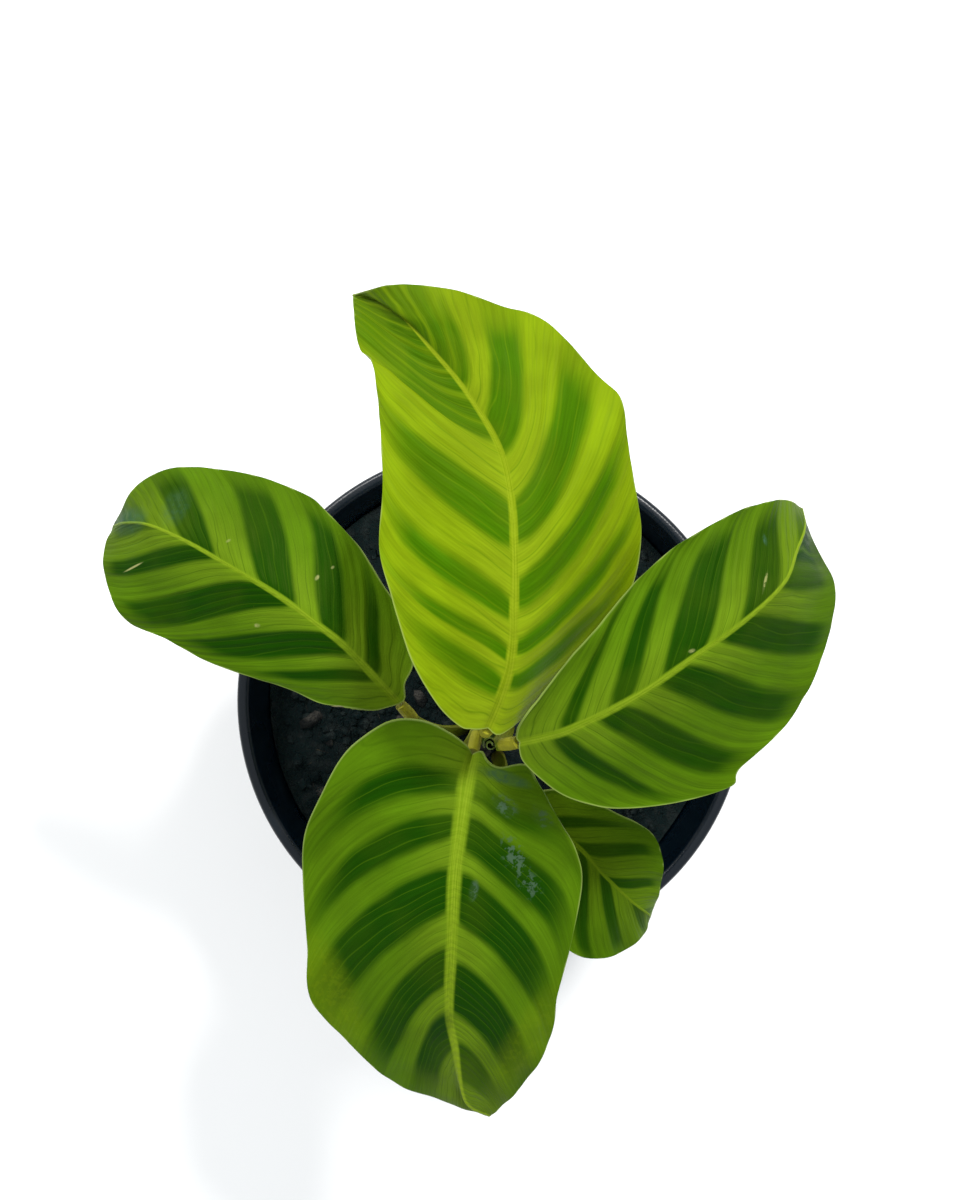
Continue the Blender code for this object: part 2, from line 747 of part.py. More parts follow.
def soil_height(x, y):
    """Return the height of the loose, lumpy soil at a place."""
    mounds = math.sin(x / MOUND_LENGTHS[0] + MOUND_SHIFT) * math.cos(y / MOUND_LENGTHS[1])
    lumps = math.sin((x + y) / LUMP_LENGTHS[0]) * math.sin((x - y) / LUMP_LENGTHS[1] + LUMP_SHIFT)
    return SOIL_LEVEL + MOUND_HEIGHT * mounds + LUMP_HEIGHT * lumps


def soil_rings(bm, edge_radius):
    """Return the rings of points of the soil's surface, from the middle outwards."""
    rings = []
    for k in range(1, SOIL_RINGS + 1):
        ring = []
        for i in range(SOIL_SEGMENTS):
            x, y = ring_point(edge_radius * k / SOIL_RINGS, i, SOIL_SEGMENTS)
            ring.append(bm.verts.new((x, y, soil_height(x, y))))
        rings.append(ring)
    return rings


def make_soil():
    """Make the soil as one solid that fills the pot, with a plain hole for each stem."""
    bm = bmesh.new()
    bottom_z = POT_FLOOR + FIT_GAP
    edge_radius = wall_radius(SOIL_LEVEL - SOIL_EDGE_DROP) - POT_WALL - FIT_GAP
    centre = bm.verts.new((0, 0, soil_height(0, 0)))
    rings = soil_rings(bm, edge_radius)
    bottom_radius = wall_radius(bottom_z) - POT_WALL - SOIL_FOOT_GAP
    base = []
    for i in range(SOIL_SEGMENTS):
        x, y = ring_point(bottom_radius, i, SOIL_SEGMENTS)
        base.append(bm.verts.new((x, y, bottom_z)))
    for i in range(SOIL_SEGMENTS):
        j = (i + 1) % SOIL_SEGMENTS
        bm.faces.new((centre, rings[0][i], rings[0][j]))
        for inner, outer in zip(rings, rings[1:]):
            bm.faces.new((inner[i], outer[i], outer[j]))
            bm.faces.new((inner[i], outer[j], inner[j]))
        bm.faces.new((rings[-1][i], base[i], base[j]))
        bm.faces.new((rings[-1][i], base[j], rings[-1][j]))
    bm.faces.new(base)
    soil = add_object("soil", bm, POTTING_MIX)
    cut_stem_holes(soil)
    return soil


def cut_stem_holes(soil):
    """Cut the plain round holes in which the stems stand."""
    top = SOIL_LEVEL + HOLE_CUT_RISE
    deep = SOIL_LEVEL - HOLE_DEPTH
    radius = FOOT_RADIUS + HOLE_CLEARANCE
    for leaf in LEAVES:
        x, y = leaf.foot
        cut_by(soil, upright_cylinder(f"hole_cutter_{leaf.place}", x, y, deep, top, radius, HOLE_SIDES))
    roll_radius = ROLL_FOOT_SCALE * (ROLL_INNER_RADIUS + ROLL_PITCH * ROLL_TURNS + ROLL_THICKNESS / 2)
    cut_by(soil, upright_cylinder(
        "hole_cutter_roll", ROLL_FOOT.x, ROLL_FOOT.y, deep, top, roll_radius + HOLE_CLEARANCE, HOLE_SIDES))
    cut_by(soil, upright_cylinder(
        "hole_cutter_sheath", SHEATH_FOOT.x, SHEATH_FOOT.y, SOIL_LEVEL - SHEATH_DEPTH, top,
        SHEATH_FOOT_RADIUS + HOLE_CLEARANCE, SHEATH_HOLE_SIDES))


def main():
    """Build the pot, the soil and the plant."""
    clear_scene()
    make_pot()
    make_soil()
    for leaf in LEAVES:
        make_blade(leaf)
        make_stalk(leaf)
    make_rolled_leaf()
    make_dried_sheath()


main()
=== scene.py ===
"""Looks of a young calathea zebrina in a round nursery pot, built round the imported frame.

Lengths in the dataclasses are millimetres, as on a drawing, and become metres when a mesh is
made. The plant is laid out as it grew: each blade along its side veins, each stalk from its
foot in the soil up to the thick joint under its blade.
"""

import logging
import math
from dataclasses import dataclass, field
from enum import Enum

import bmesh
import bpy
import numpy as np
from mathutils import Matrix, Vector


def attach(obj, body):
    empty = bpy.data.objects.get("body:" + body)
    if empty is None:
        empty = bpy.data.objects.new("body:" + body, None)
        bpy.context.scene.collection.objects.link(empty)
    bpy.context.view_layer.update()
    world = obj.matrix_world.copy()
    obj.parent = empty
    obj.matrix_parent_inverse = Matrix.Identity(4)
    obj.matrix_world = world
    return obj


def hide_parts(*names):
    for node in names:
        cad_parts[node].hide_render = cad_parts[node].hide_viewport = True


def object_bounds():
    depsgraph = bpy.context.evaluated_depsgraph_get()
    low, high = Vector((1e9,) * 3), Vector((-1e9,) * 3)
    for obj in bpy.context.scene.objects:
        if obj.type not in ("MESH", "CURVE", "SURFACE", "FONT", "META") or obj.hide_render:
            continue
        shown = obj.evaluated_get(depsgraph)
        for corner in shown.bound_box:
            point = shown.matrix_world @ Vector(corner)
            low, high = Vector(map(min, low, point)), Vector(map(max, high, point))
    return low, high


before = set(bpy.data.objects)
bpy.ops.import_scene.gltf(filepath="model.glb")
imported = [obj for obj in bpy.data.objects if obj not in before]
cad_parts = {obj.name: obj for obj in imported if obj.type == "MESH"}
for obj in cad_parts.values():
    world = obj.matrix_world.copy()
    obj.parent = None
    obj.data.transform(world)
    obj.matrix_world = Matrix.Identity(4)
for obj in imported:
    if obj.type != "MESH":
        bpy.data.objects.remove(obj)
CAD_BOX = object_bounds()
MM = 0.001
LOG = logging.getLogger("calathea")

# Photograph: frame in pixels, and the camera worked out from the pot's rim
PHOTO_WIDTH = 960
PHOTO_HEIGHT = 1200
FOCAL_PIXELS = 1784.0
SENSOR_MM = 36.0
CAMERA_PLACE = (-4.5, 39.5, 860.0)

# Sizes that the blades and stalks share with the solid model
ROW_EASE = 1.4
VEIN_REACH = 0.3
VEIN_END_ANGLE = 18.0
VEIN_EDGE_ANGLE = 12.0
BASE_FADE = 6
COLUMN_EASE = 1.25
HEADING_SHARE = 0.03
ARCH_LEAD = 0.1
RIB_DEPTH = 2.6
MARGIN_WAVE = 0.9
MARGIN_WAVES = 5.0
SOIL_LEVEL = 135.0
HOLE_DEPTH = 26.0
FIT_GAP = 0.3
UP = np.array((0.0, 0.0, 1.0))


class Side(Enum):
    """Half of a blade, seen from above with the photo's upper edge away from the viewer."""

    LEFT = 0
    RIGHT = 1


class Grain(Enum):
    """Kinds of loose bits on the soil."""

    CRUMB = "soil_crumbs"
    BARK = "bark_chips"
    FIBRE = "soil_fibres"


# Shapes of the five leaves


@dataclass(frozen=True)
class Fan:
    """How the side veins of one half of a blade spread from the midrib to the margin.

    The first vein meets the margin at the share first of its length. Later veins meet it ahead
    of their roots, by lag near the base and by surge near the tip. lean is a vein's angle to
    the midrib at the base, and close is how much smaller that angle is at the tip.
    """

    first: float
    lag: float
    surge: float
    lean: float
    close: float

    def margin_shares(self, shares: np.ndarray) -> np.ndarray:
        """Return where on the margin the veins from these shares of the midrib end."""
        ahead = 1 - (1 - shares ** self.lag) ** self.surge
        return self.first + (1 - self.first) * ahead


@dataclass(frozen=True)
class LeafShape:
    """Points along the midrib and the margins of one leaf, and how its stalk stands."""

    place: str
    midrib: tuple
    left: tuple
    right: tuple
    fans: tuple
    foot: tuple
    arch: float
    pulvinus_length: float
    pulvinus_pitch: float


@dataclass(frozen=True)
class Patch:
    """A soft spot on a blade, lying flat as seen from above: stain, dry mark, painted sheen,
    painted shade.

    Place and half sizes are in millimetres, turn is in degrees from the long side, and grain
    is how much the spot breaks up into specks.
    """

    x: float
    y: float
    half_length: float
    half_width: float
    turn: float
    colour: tuple
    strength: float
    grain: float = 0.5


@dataclass(frozen=True)
class LeafPattern:
    """Stripes and colours of one leaf.

    Bands are (start, end) shares of the midrib, one list for each side, and run along the side
    veins. From the share tips on, a side is dark with thin pale streaks.
    """

    left_bands: tuple
    right_bands: tuple
    ground: tuple
    dark: tuple
    pale: tuple
    rib_thread: tuple
    margin_tone: tuple = (136, 152, 80)
    tips: tuple = (0.9, 0.9)
    feather: float = 0.025
    vein_count: float = 30.0
    vein_strength: float = 0.22
    midrib_width: float = 3.0
    midrib_strength: float = 0.85
    band_margin: float = 9.0
    patches: tuple = ()
    flush: float = 0.5


BACK = LeafShape(
    place="back",
    midrib=((-2, -1, 298), (2, 9, 303), (5, 20, 307), (6, 35, 310), (6, 56, 311), (5, 72, 309),
            (1, 88, 306), (-9, 105, 302), (-20, 119, 297), (-30, 131, 291), (-37, 137, 285),
            (-46, 139, 278)),
    left=((-7, -1, 299), (-11, 0, 300), (-18, 7, 302), (-26, 21, 304), (-32, 40, 304),
          (-36, 56, 303), (-35, 78, 301), (-38, 112, 294), (-43, 120, 290), (-45, 130, 285),
          (-46, 139, 278)),
    right=((1, -3, 297), (5, -1, 295), (10, 3, 291), (21, 12, 287), (34, 27, 286), (44, 43, 288),
           (47, 60, 291), (45, 74, 294), (42, 90, 296), (40, 103, 298), (33, 110, 298),
           (16, 127, 300), (2, 132, 300), (-12, 137, 298), (-30, 140, 293), (-41, 139, 286),
           (-46, 139, 278)),
    fans=(Fan(first=0.16, lag=0.92, surge=2.1, lean=53, close=13),
          Fan(first=0.2, lag=0.89, surge=1.36, lean=69, close=19)),
    foot=(1.0, -3.0),
    arch=2,
    pulvinus_length=8.0,
    pulvinus_pitch=76.0,
)

LEFT = LeafShape(
    place="left",
    midrib=((-32, 4, 252), (-39, 12, 256), (-50, 24, 260), (-60, 32, 262), (-72, 41, 263),
            (-87, 50, 262), (-103, 59, 258), (-117, 65, 252), (-127, 66, 246), (-133, 65, 236)),
    left=((-36, 3, 252), (-41, 2, 251), (-49, 3, 250), (-59, 4, 249), (-70, 9, 249), (-86, 14, 248),
          (-100, 19, 246), (-113, 26, 243), (-127, 32, 240), (-134, 43, 238), (-136, 56, 237),
          (-133, 65, 236)),
    right=((-30, 6, 253), (-30, 11, 254), (-27, 19, 256), (-30, 33, 257), (-38, 46, 257),
           (-45, 57, 256), (-57, 70, 255), (-63, 75, 254), (-78, 81, 253), (-93, 84, 252),
           (-107, 85, 250), (-118, 82, 247), (-125, 77, 243), (-129, 71, 239), (-133, 65, 236)),
    fans=(Fan(first=0.14, lag=0.6, surge=1.45, lean=39, close=24),
          Fan(first=0.16, lag=0.7, surge=1.09, lean=52, close=24)),
    foot=(-11, -12),
    arch=2,
    pulvinus_length=8.0,
    pulvinus_pitch=34.0,
)

RIGHT = LeafShape(
    place="right",
    midrib=((8, -6, 291), (16, -4, 294), (25, -1, 297), (44, 9, 301), (63, 22, 302), (80, 34, 299),
            (92, 45, 294), (97, 55, 288), (101, 63, 281), (102, 70, 270)),
    left=((7, -4, 292), (8, 0, 295), (12, 6, 299), (23, 21, 303), (33, 32, 304), (42, 43, 303),
          (55, 55, 301), (68, 63, 298), (78, 68, 294), (88, 71, 288), (95, 72, 281),
          (102, 70, 270)),
    right=((8, -8, 290), (10, -13, 288), (20, -22, 285), (29, -26, 284), (41, -28, 283),
           (60, -26, 282), (77, -21, 281), (80, -15, 281), (96, 0, 280), (107, 21, 279),
           (111, 36, 277), (111, 47, 276), (106, 56, 275), (103, 64, 273), (102, 70, 270)),
    fans=(Fan(first=0.13, lag=0.51, surge=1.13, lean=50, close=40),
          Fan(first=0.16, lag=0.65, surge=1.06, lean=57, close=22)),
    foot=(6.5, -10.5),
    arch=2,
    pulvinus_length=8.0,
    pulvinus_pitch=48.0,
)

FRONT = LeafShape(
    place="front",
    midrib=((-7, -12, 262), (-9, -21, 266), (-11, -35, 269), (-13, -53, 270), (-14, -76, 266),
            (-15, -99, 257), (-13, -114, 250), (-11, -131, 241), (-8, -138, 236), (-1, -143, 229)),
    left=((-9, -9, 264), (-14, -5, 266), (-22, -1, 267), (-31, 0, 267), (-39, -3, 266),
          (-50, -12, 263), (-58, -26, 259), (-64, -40, 255), (-65, -56, 251), (-64, -80, 246),
          (-63, -99, 242), (-50, -114, 241), (-36, -128, 237), (-19, -136, 233), (-9, -140, 231),
          (-1, -143, 229)),
    right=((-4, -11, 264), (-2, -14, 266), (2, -16, 268), (11, -15, 270), (15, -23, 267),
           (22, -34, 263), (28, -45, 260), (30, -57, 257), (26, -80, 252), (22, -96, 248),
           (21, -107, 245), (17, -119, 241), (11, -129, 237), (4, -138, 232), (-1, -143, 229)),
    fans=(Fan(first=0.24, lag=0.6, surge=1.2, lean=72, close=22),
          Fan(first=0.2, lag=0.71, surge=1.8, lean=75, close=29)),
    foot=(-9.5, -20.5),
    arch=2.6,
    pulvinus_length=8.0,
    pulvinus_pitch=42.0,
)

LOW = LeafShape(
    place="low",
    midrib=((13, -35, 205), (21, -42, 209), (32, -51, 211), (40, -60, 210), (51, -71, 205),
            (58, -77, 199), (59, -80, 190)),
    left=((15, -33, 206), (19, -30, 208), (30, -30, 210), (43, -37, 210), (53, -42, 208),
          (60, -48, 204), (63, -58, 202), (62, -69, 198), (61, -73, 196), (59, -80, 190)),
    right=((11, -38, 204), (11, -47, 203), (12, -60, 203), (16, -75, 203), (23, -85, 202),
           (32, -92, 201), (40, -93, 200), (49, -91, 197), (57, -85, 193), (59, -80, 190)),
    fans=(Fan(first=0.2, lag=0.45, surge=0.98, lean=27, close=20),
          Fan(first=0.2, lag=0.75, surge=1.57, lean=39, close=20)),
    foot=(3, -24.5),
    arch=1.4,
    pulvinus_length=7.0,
    pulvinus_pitch=34.0,
)

BACK_PATTERN = LeafPattern(
    left_bands=((0.072, 0.106), (0.127, 0.168), (0.203, 0.258), (0.338, 0.434), (0.54, 1.0)),
    right_bands=((0.096, 0.117), (0.15, 0.185), (0.232, 0.297), (0.349, 0.437), (0.514, 0.601),
                 (0.662, 1.0)),
    ground=(102, 124, 6),
    dark=(50, 88, 0),
    pale=(122, 138, 22),
    rib_thread=(98, 118, 4),
    tips=(0.56, 0.68),
    midrib_width=2.9,
    midrib_strength=0.8,
    band_margin=13.0,
    flush=0.12,
)

GREEN_COLOURS = {"ground": (66, 97, 6), "dark": (12, 50, 0), "pale": (112, 134, 26),
                 "rib_thread": (92, 118, 12)}

# Bluish-grey painted sheen, a painted reflection of the sky, broken into specks like scuffs
SCUFFED_SHEEN = (62, 84, 66)
# Bluish painted sheen, a painted reflection laid on the leaves as patches
PAINTED_SHEEN = (46, 78, 62)
DRY_MARK = (150, 150, 96)
STAIN = (98, 118, 8)
SHADE = (8, 38, 12)

LEFT_PATTERN = LeafPattern(
    left_bands=((0.085, 0.115), (0.172, 0.274), (0.371, 0.494), (0.601, 0.687), (0.8, 0.9)),
    right_bands=((0.088, 0.14), (0.208, 0.294), (0.367, 0.484), (0.607, 0.721), (0.82, 1.0)),
    tips=(0.9, 0.84),
    midrib_width=2.4,
    band_margin=7.0,
    # Two patches of painted sheen toward the tip, then dry marks
    patches=(Patch(-107.9, 71.0, 9.0, 6.0, 60.0, PAINTED_SHEEN, 0.3, 0.5),
             Patch(-125.0, 66.5, 9.0, 6.0, 20.0, PAINTED_SHEEN, 0.45, 0.3),
             Patch(-124.0, 50.8, 5.0, 0.45, 24.0, DRY_MARK, 0.95, 0.1),
             Patch(-59.3, 47.0, 1.3, 0.8, 60.0, DRY_MARK, 0.75, 0.3),
             Patch(-54.2, 50.5, 0.9, 0.6, 40.0, DRY_MARK, 0.6, 0.3),
             Patch(-79.8, 30.9, 1.4, 0.9, 0.0, DRY_MARK, 0.7, 0.5),
             Patch(-89.1, 59.4, 1.2, 0.6, 30.0, DRY_MARK, 0.5, 0.4)),
    **GREEN_COLOURS,
)

RIGHT_PATTERN = LeafPattern(
    left_bands=((0.094, 0.142), (0.219, 0.285), (0.357, 0.486), (0.579, 0.702), (0.84, 0.95)),
    right_bands=((0.075, 0.11), (0.187, 0.263), (0.339, 0.431), (0.519, 0.621), (0.71, 1.0)),
    tips=(0.95, 0.76),
    midrib_width=2.6,
    band_margin=8.0,
    # One patch of painted sheen, then dry marks
    patches=(Patch(86.2, 58.6, 2.4, 0.9, 100.0, PAINTED_SHEEN, 0.8, 0.6),
             Patch(85.6, 45.2, 4.5, 0.6, 75.0, DRY_MARK, 0.6, 0.8),
             Patch(61.7, 23.6, 1.4, 0.8, 20.0, DRY_MARK, 0.6, 0.4)),
    **GREEN_COLOURS,
)

FRONT_PATTERN = LeafPattern(
    left_bands=((0.053, 0.091), (0.129, 0.194), (0.256, 0.365), (0.442, 0.549), (0.622, 0.73)),
    right_bands=((0.06, 0.094), (0.128, 0.219), (0.261, 0.388), (0.478, 0.622), (0.706, 0.83)),
    tips=(1.2, 1.2),
    midrib_width=5.0,
    midrib_strength=0.9,
    band_margin=15.0,
    vein_count=48.0,
    vein_strength=0.42,
    # Painted sheen, mostly over the right half, a painted shade lower down, and two stains
    patches=(Patch(3.9, -29.0, 6.0, 4.0, -40.0, SCUFFED_SHEEN, 0.75, 0.9),
             Patch(7.0, -46.0, 10.0, 5.0, -62.0, SCUFFED_SHEEN, 0.8, 1.0),
             Patch(12.0, -56.0, 8.0, 4.5, -60.0, SCUFFED_SHEEN, 0.75, 1.0),
             Patch(16.0, -33.0, 6.0, 3.5, -50.0, SCUFFED_SHEEN, 0.6, 0.9),
             Patch(-6.6, -57.0, 4.5, 2.0, 80.0, SCUFFED_SHEEN, 0.75, 0.8),
             Patch(4.0, -19.5, 11.0, 3.0, -18.0, PAINTED_SHEEN, 0.65, 0.4),
             Patch(-18.0, -106.0, 10.0, 5.0, 62.0, SHADE, 0.5, 0.2),
             Patch(-56.0, -96.0, 34.0, 12.0, -66.0, STAIN, 0.4, 0.3),
             Patch(12.0, -112.0, 30.0, 10.0, 60.0, STAIN, 0.35, 0.3)),
    **GREEN_COLOURS,
)

LOW_PATTERN = LeafPattern(
    left_bands=((0.1, 0.173), (0.281, 0.369), (0.518, 0.601), (0.8, 0.86)),
    right_bands=((0.14, 0.2), (0.32, 0.385), (0.475, 0.56), (0.722, 0.81)),
    ground=(66, 98, 6),
    dark=(22, 58, 0),
    pale=(98, 122, 16),
    rib_thread=(80, 108, 8),
    tips=(1.2, 1.2),
    vein_count=20.0,
    vein_strength=0.16,
    band_margin=6.0,
    midrib_width=1.8,
)

LEAVES = (
    (BACK, BACK_PATTERN, "blade_lime"),
    (LEFT, LEFT_PATTERN, "blade_green"),
    (RIGHT, RIGHT_PATTERN, "blade_green"),
    (FRONT, FRONT_PATTERN, "blade_green"),
    (LOW, LOW_PATTERN, "blade_green"),
)


# Small tools


def linear(colour: tuple) -> tuple:
    """Turn a colour of 0 to 255 screen values into linear values with full alpha.

    Args:
        colour: red, green and blue as a screen shows them.

    Returns:
        Linear red, green, blue and alpha.
    """
    channels = []
    for value in colour:
        share = value / 255.0
        channels.append(share / 12.92 if share <= 0.04045 else ((share + 0.055) / 1.055) ** 2.4)
    return (*channels, 1.0)


def unit(vectors: np.ndarray) -> np.ndarray:
    """Scale the last axis of an array of vectors to length one."""
    length = np.linalg.norm(vectors, axis=-1, keepdims=True)
    return vectors / np.maximum(length, 1e-9)


def along_axis(first: np.ndarray, second: np.ndarray) -> np.ndarray:
    """Return the dot products of two arrays of vectors, with the last axis kept."""
    return np.sum(first * second, axis=-1, keepdims=True)


def bezier(handles: tuple, share: np.ndarray) -> np.ndarray:
    """Return points of cubic Bezier curves with four handles, at shares of 0 to 1.

    Args:
        handles: the four handles, from start to end.
        share: shares of 0 to 1.

    Returns:
        Points on the curves.
    """
    rest = 1 - share
    weights = (rest ** 3, 3 * share * rest ** 2, 3 * share ** 2 * rest, share ** 3)
    return sum(weight * handle for weight, handle in zip(weights, handles))


def distance_to_line(places: np.ndarray, line: np.ndarray) -> np.ndarray:
    """Return the distance of each place to a line of straight pieces.

    Args:
        places: points on the last axis.
        line: the line's points, in order.

    Returns:
        One distance for each place.
    """
    nearest = np.full(places.shape[:-1], np.inf)
    for start, end in zip(line, line[1:]):
        step = end - start
        share = np.clip((places - start) @ step / (step @ step), 0.0, 1.0)
        gap = places - start - share[..., None] * step
        nearest = np.minimum(nearest, np.linalg.norm(gap, axis=-1))
    return nearest


def ripples(places: np.ndarray, wavelength: float, seed: float) -> np.ndarray:
    """Return a soft bumpy field of about -1 to 1 from a few crossed waves.

    Args:
        places: points in millimetres, with x, y and z on the last axis.
        wavelength: rough distance between bumps, in millimetres.
        seed: shifts the waves, so that two surfaces differ.

    Returns:
        One value for each point.
    """
    x = places[..., 0] * math.tau / wavelength
    y = places[..., 1] * math.tau / wavelength
    first = np.sin(x + 1.7 * np.sin(0.6 * y + seed)) * np.cos(0.8 * y - seed)
    second = np.sin(0.7 * x - 1.1 * y + 2.3 * seed) * np.cos(1.3 * x + 0.4 * y)
    third = np.sin(1.9 * x + 0.9 * y + seed) * np.sin(2.1 * y - 0.7 * x)
    return (first + second + 0.6 * third) / 2.2


def smooth_step(values: np.ndarray, low: float, high: float) -> np.ndarray:
    """Return 0 below low, 1 above high, and a soft rise between."""
    share = np.clip((values - low) / (high - low), 0.0, 1.0)
    return share * share * (3 - 2 * share)


class SmoothLine:
    """A smooth curve through points, read by its share of length."""

    STEPS = 16

    def __init__(self, points: tuple) -> None:
        """Lay a dense line through the points.

        Args:
            points: places in millimetres that the curve passes through.
        """
        knots = np.array(points, dtype=float)
        padded = np.vstack((2 * knots[0] - knots[1], knots, 2 * knots[-1] - knots[-2]))
        t = (np.arange(self.STEPS) / self.STEPS)[:, None]
        spans = []
        for before, start, end, after in zip(padded, padded[1:], padded[2:], padded[3:]):
            bend = 2 * before - 5 * start + 4 * end - after
            twist = 3 * start - before - 3 * end + after
            spans.append(0.5 * (2 * start + (end - before) * t + bend * t ** 2 + twist * t ** 3))
        self.line = np.vstack((*spans, knots[-1]))
        steps = np.linalg.norm(np.diff(self.line, axis=0), axis=1)
        self.shares = np.concatenate(((0.0,), np.cumsum(steps)))
        self.length = self.shares[-1]
        self.shares = self.shares / self.length

    def at(self, shares: np.ndarray) -> np.ndarray:
        """Return the points at shares of the length."""
        wanted = np.clip(shares, 0.0, 1.0)
        return np.stack([np.interp(wanted, self.shares, axis) for axis in self.line.T], axis=-1)

    def direction(self, shares: np.ndarray) -> np.ndarray:
        """Return unit directions at shares of the length."""
        reach = 0.02
        return unit(self.at(np.asarray(shares) + reach) - self.at(np.asarray(shares) - reach))


def tube_faces(levels: int, width: int) -> list:
    """Return the four-sided faces of a tube.

    Args:
        levels: number of rings.
        width: points in a ring.

    Returns:
        Faces from the first ring up.
    """
    faces = []
    for low in range(0, (levels - 1) * width, width):
        high = low + width
        for i in range(width):
            j = (i + 1) % width
            faces.append([low + i, low + j, high + j, high + i])
    return faces


def strip_ends(levels: int, width: int) -> list:
    """Return the faces that close both ends of a thin strip, built as a flattened tube.

    Args:
        levels: number of rings.
        width: points in a ring, of which the second half runs back along the first.

    Returns:
        Faces of the lower and the upper end.
    """
    top = (levels - 1) * width
    faces = []
    for i in range(width // 2 - 1):
        mirror = width - 1 - i
        faces.append([i, mirror, mirror - 1, i + 1])
        faces.append([top + i, top + i + 1, top + mirror - 1, top + mirror])
    return faces


def mesh_object(name: str, vertices: np.ndarray, faces: list, marks: dict,
                smooth_angle: float = 60.0) -> bpy.types.Object:
    """Make a smooth mesh object from points in millimetres.

    Args:
        name: the piece's name.
        vertices: points in millimetres.
        faces: lists of point numbers.
        marks: attribute name to one value for each point.
        smooth_angle: edges sharper than this many degrees stay sharp.

    Returns:
        The new object, in the scene.
    """
    mesh = bpy.data.meshes.new(name)
    mesh.from_pydata((np.asarray(vertices) * MM).tolist(), [], faces)
    for mark, values in marks.items():
        layer = mesh.attributes.new(mark, "FLOAT", "POINT")
        layer.data.foreach_set("value", np.asarray(values, dtype=np.float32))
    mesh.shade_smooth()
    mesh.set_sharp_from_angle(angle=math.radians(smooth_angle))
    mesh.update()
    item = bpy.data.objects.new(name, mesh)
    bpy.context.collection.objects.link(item)
    return item


def settle(piece: bpy.types.Object, materials: list, slot: str, *nodes: str) -> bpy.types.Object:
    """Dress a piece and tie it to the frame.

    Args:
        piece: the object.
        materials: its materials, in order.
        slot: the record's material slot for the piece; not used.
        nodes: solid nodes that it stands for, if any.

    Returns:
        The piece.
    """
    for material in materials:
        piece.data.materials.append(material)
    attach(piece, "root")
    if nodes:
        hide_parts(*nodes)
    LOG.info("%s: %d faces", piece.name, len(piece.data.polygons))
    return piece


# Shader building

# Sockets of the colour Mix node: its share, its two colours, and its colour output
MIX_SOCKETS = (0, 6, 7)
MIX_RESULT = 2

# Values that a noise mostly lies between, and its detail where it draws threads or streaks
NOISE_RANGE = (0.3, 0.7)
THREAD_DETAIL = 3.0
THREAD_ROUGHNESS = 0.6

# Waver of the thin side veins: steps across them, steps along them, and size
WAVER_ACROSS = 9.0
WAVER_ALONG = 1.3
WAVER_SIZE = 0.06

# Least distance between two stops of a ramp, and the scale that makes a patch ignore height
LEAST_STOP_GAP = 0.001
FLAT_SCALE = 1000.0

NUMBER = "NodeSocketFloat"


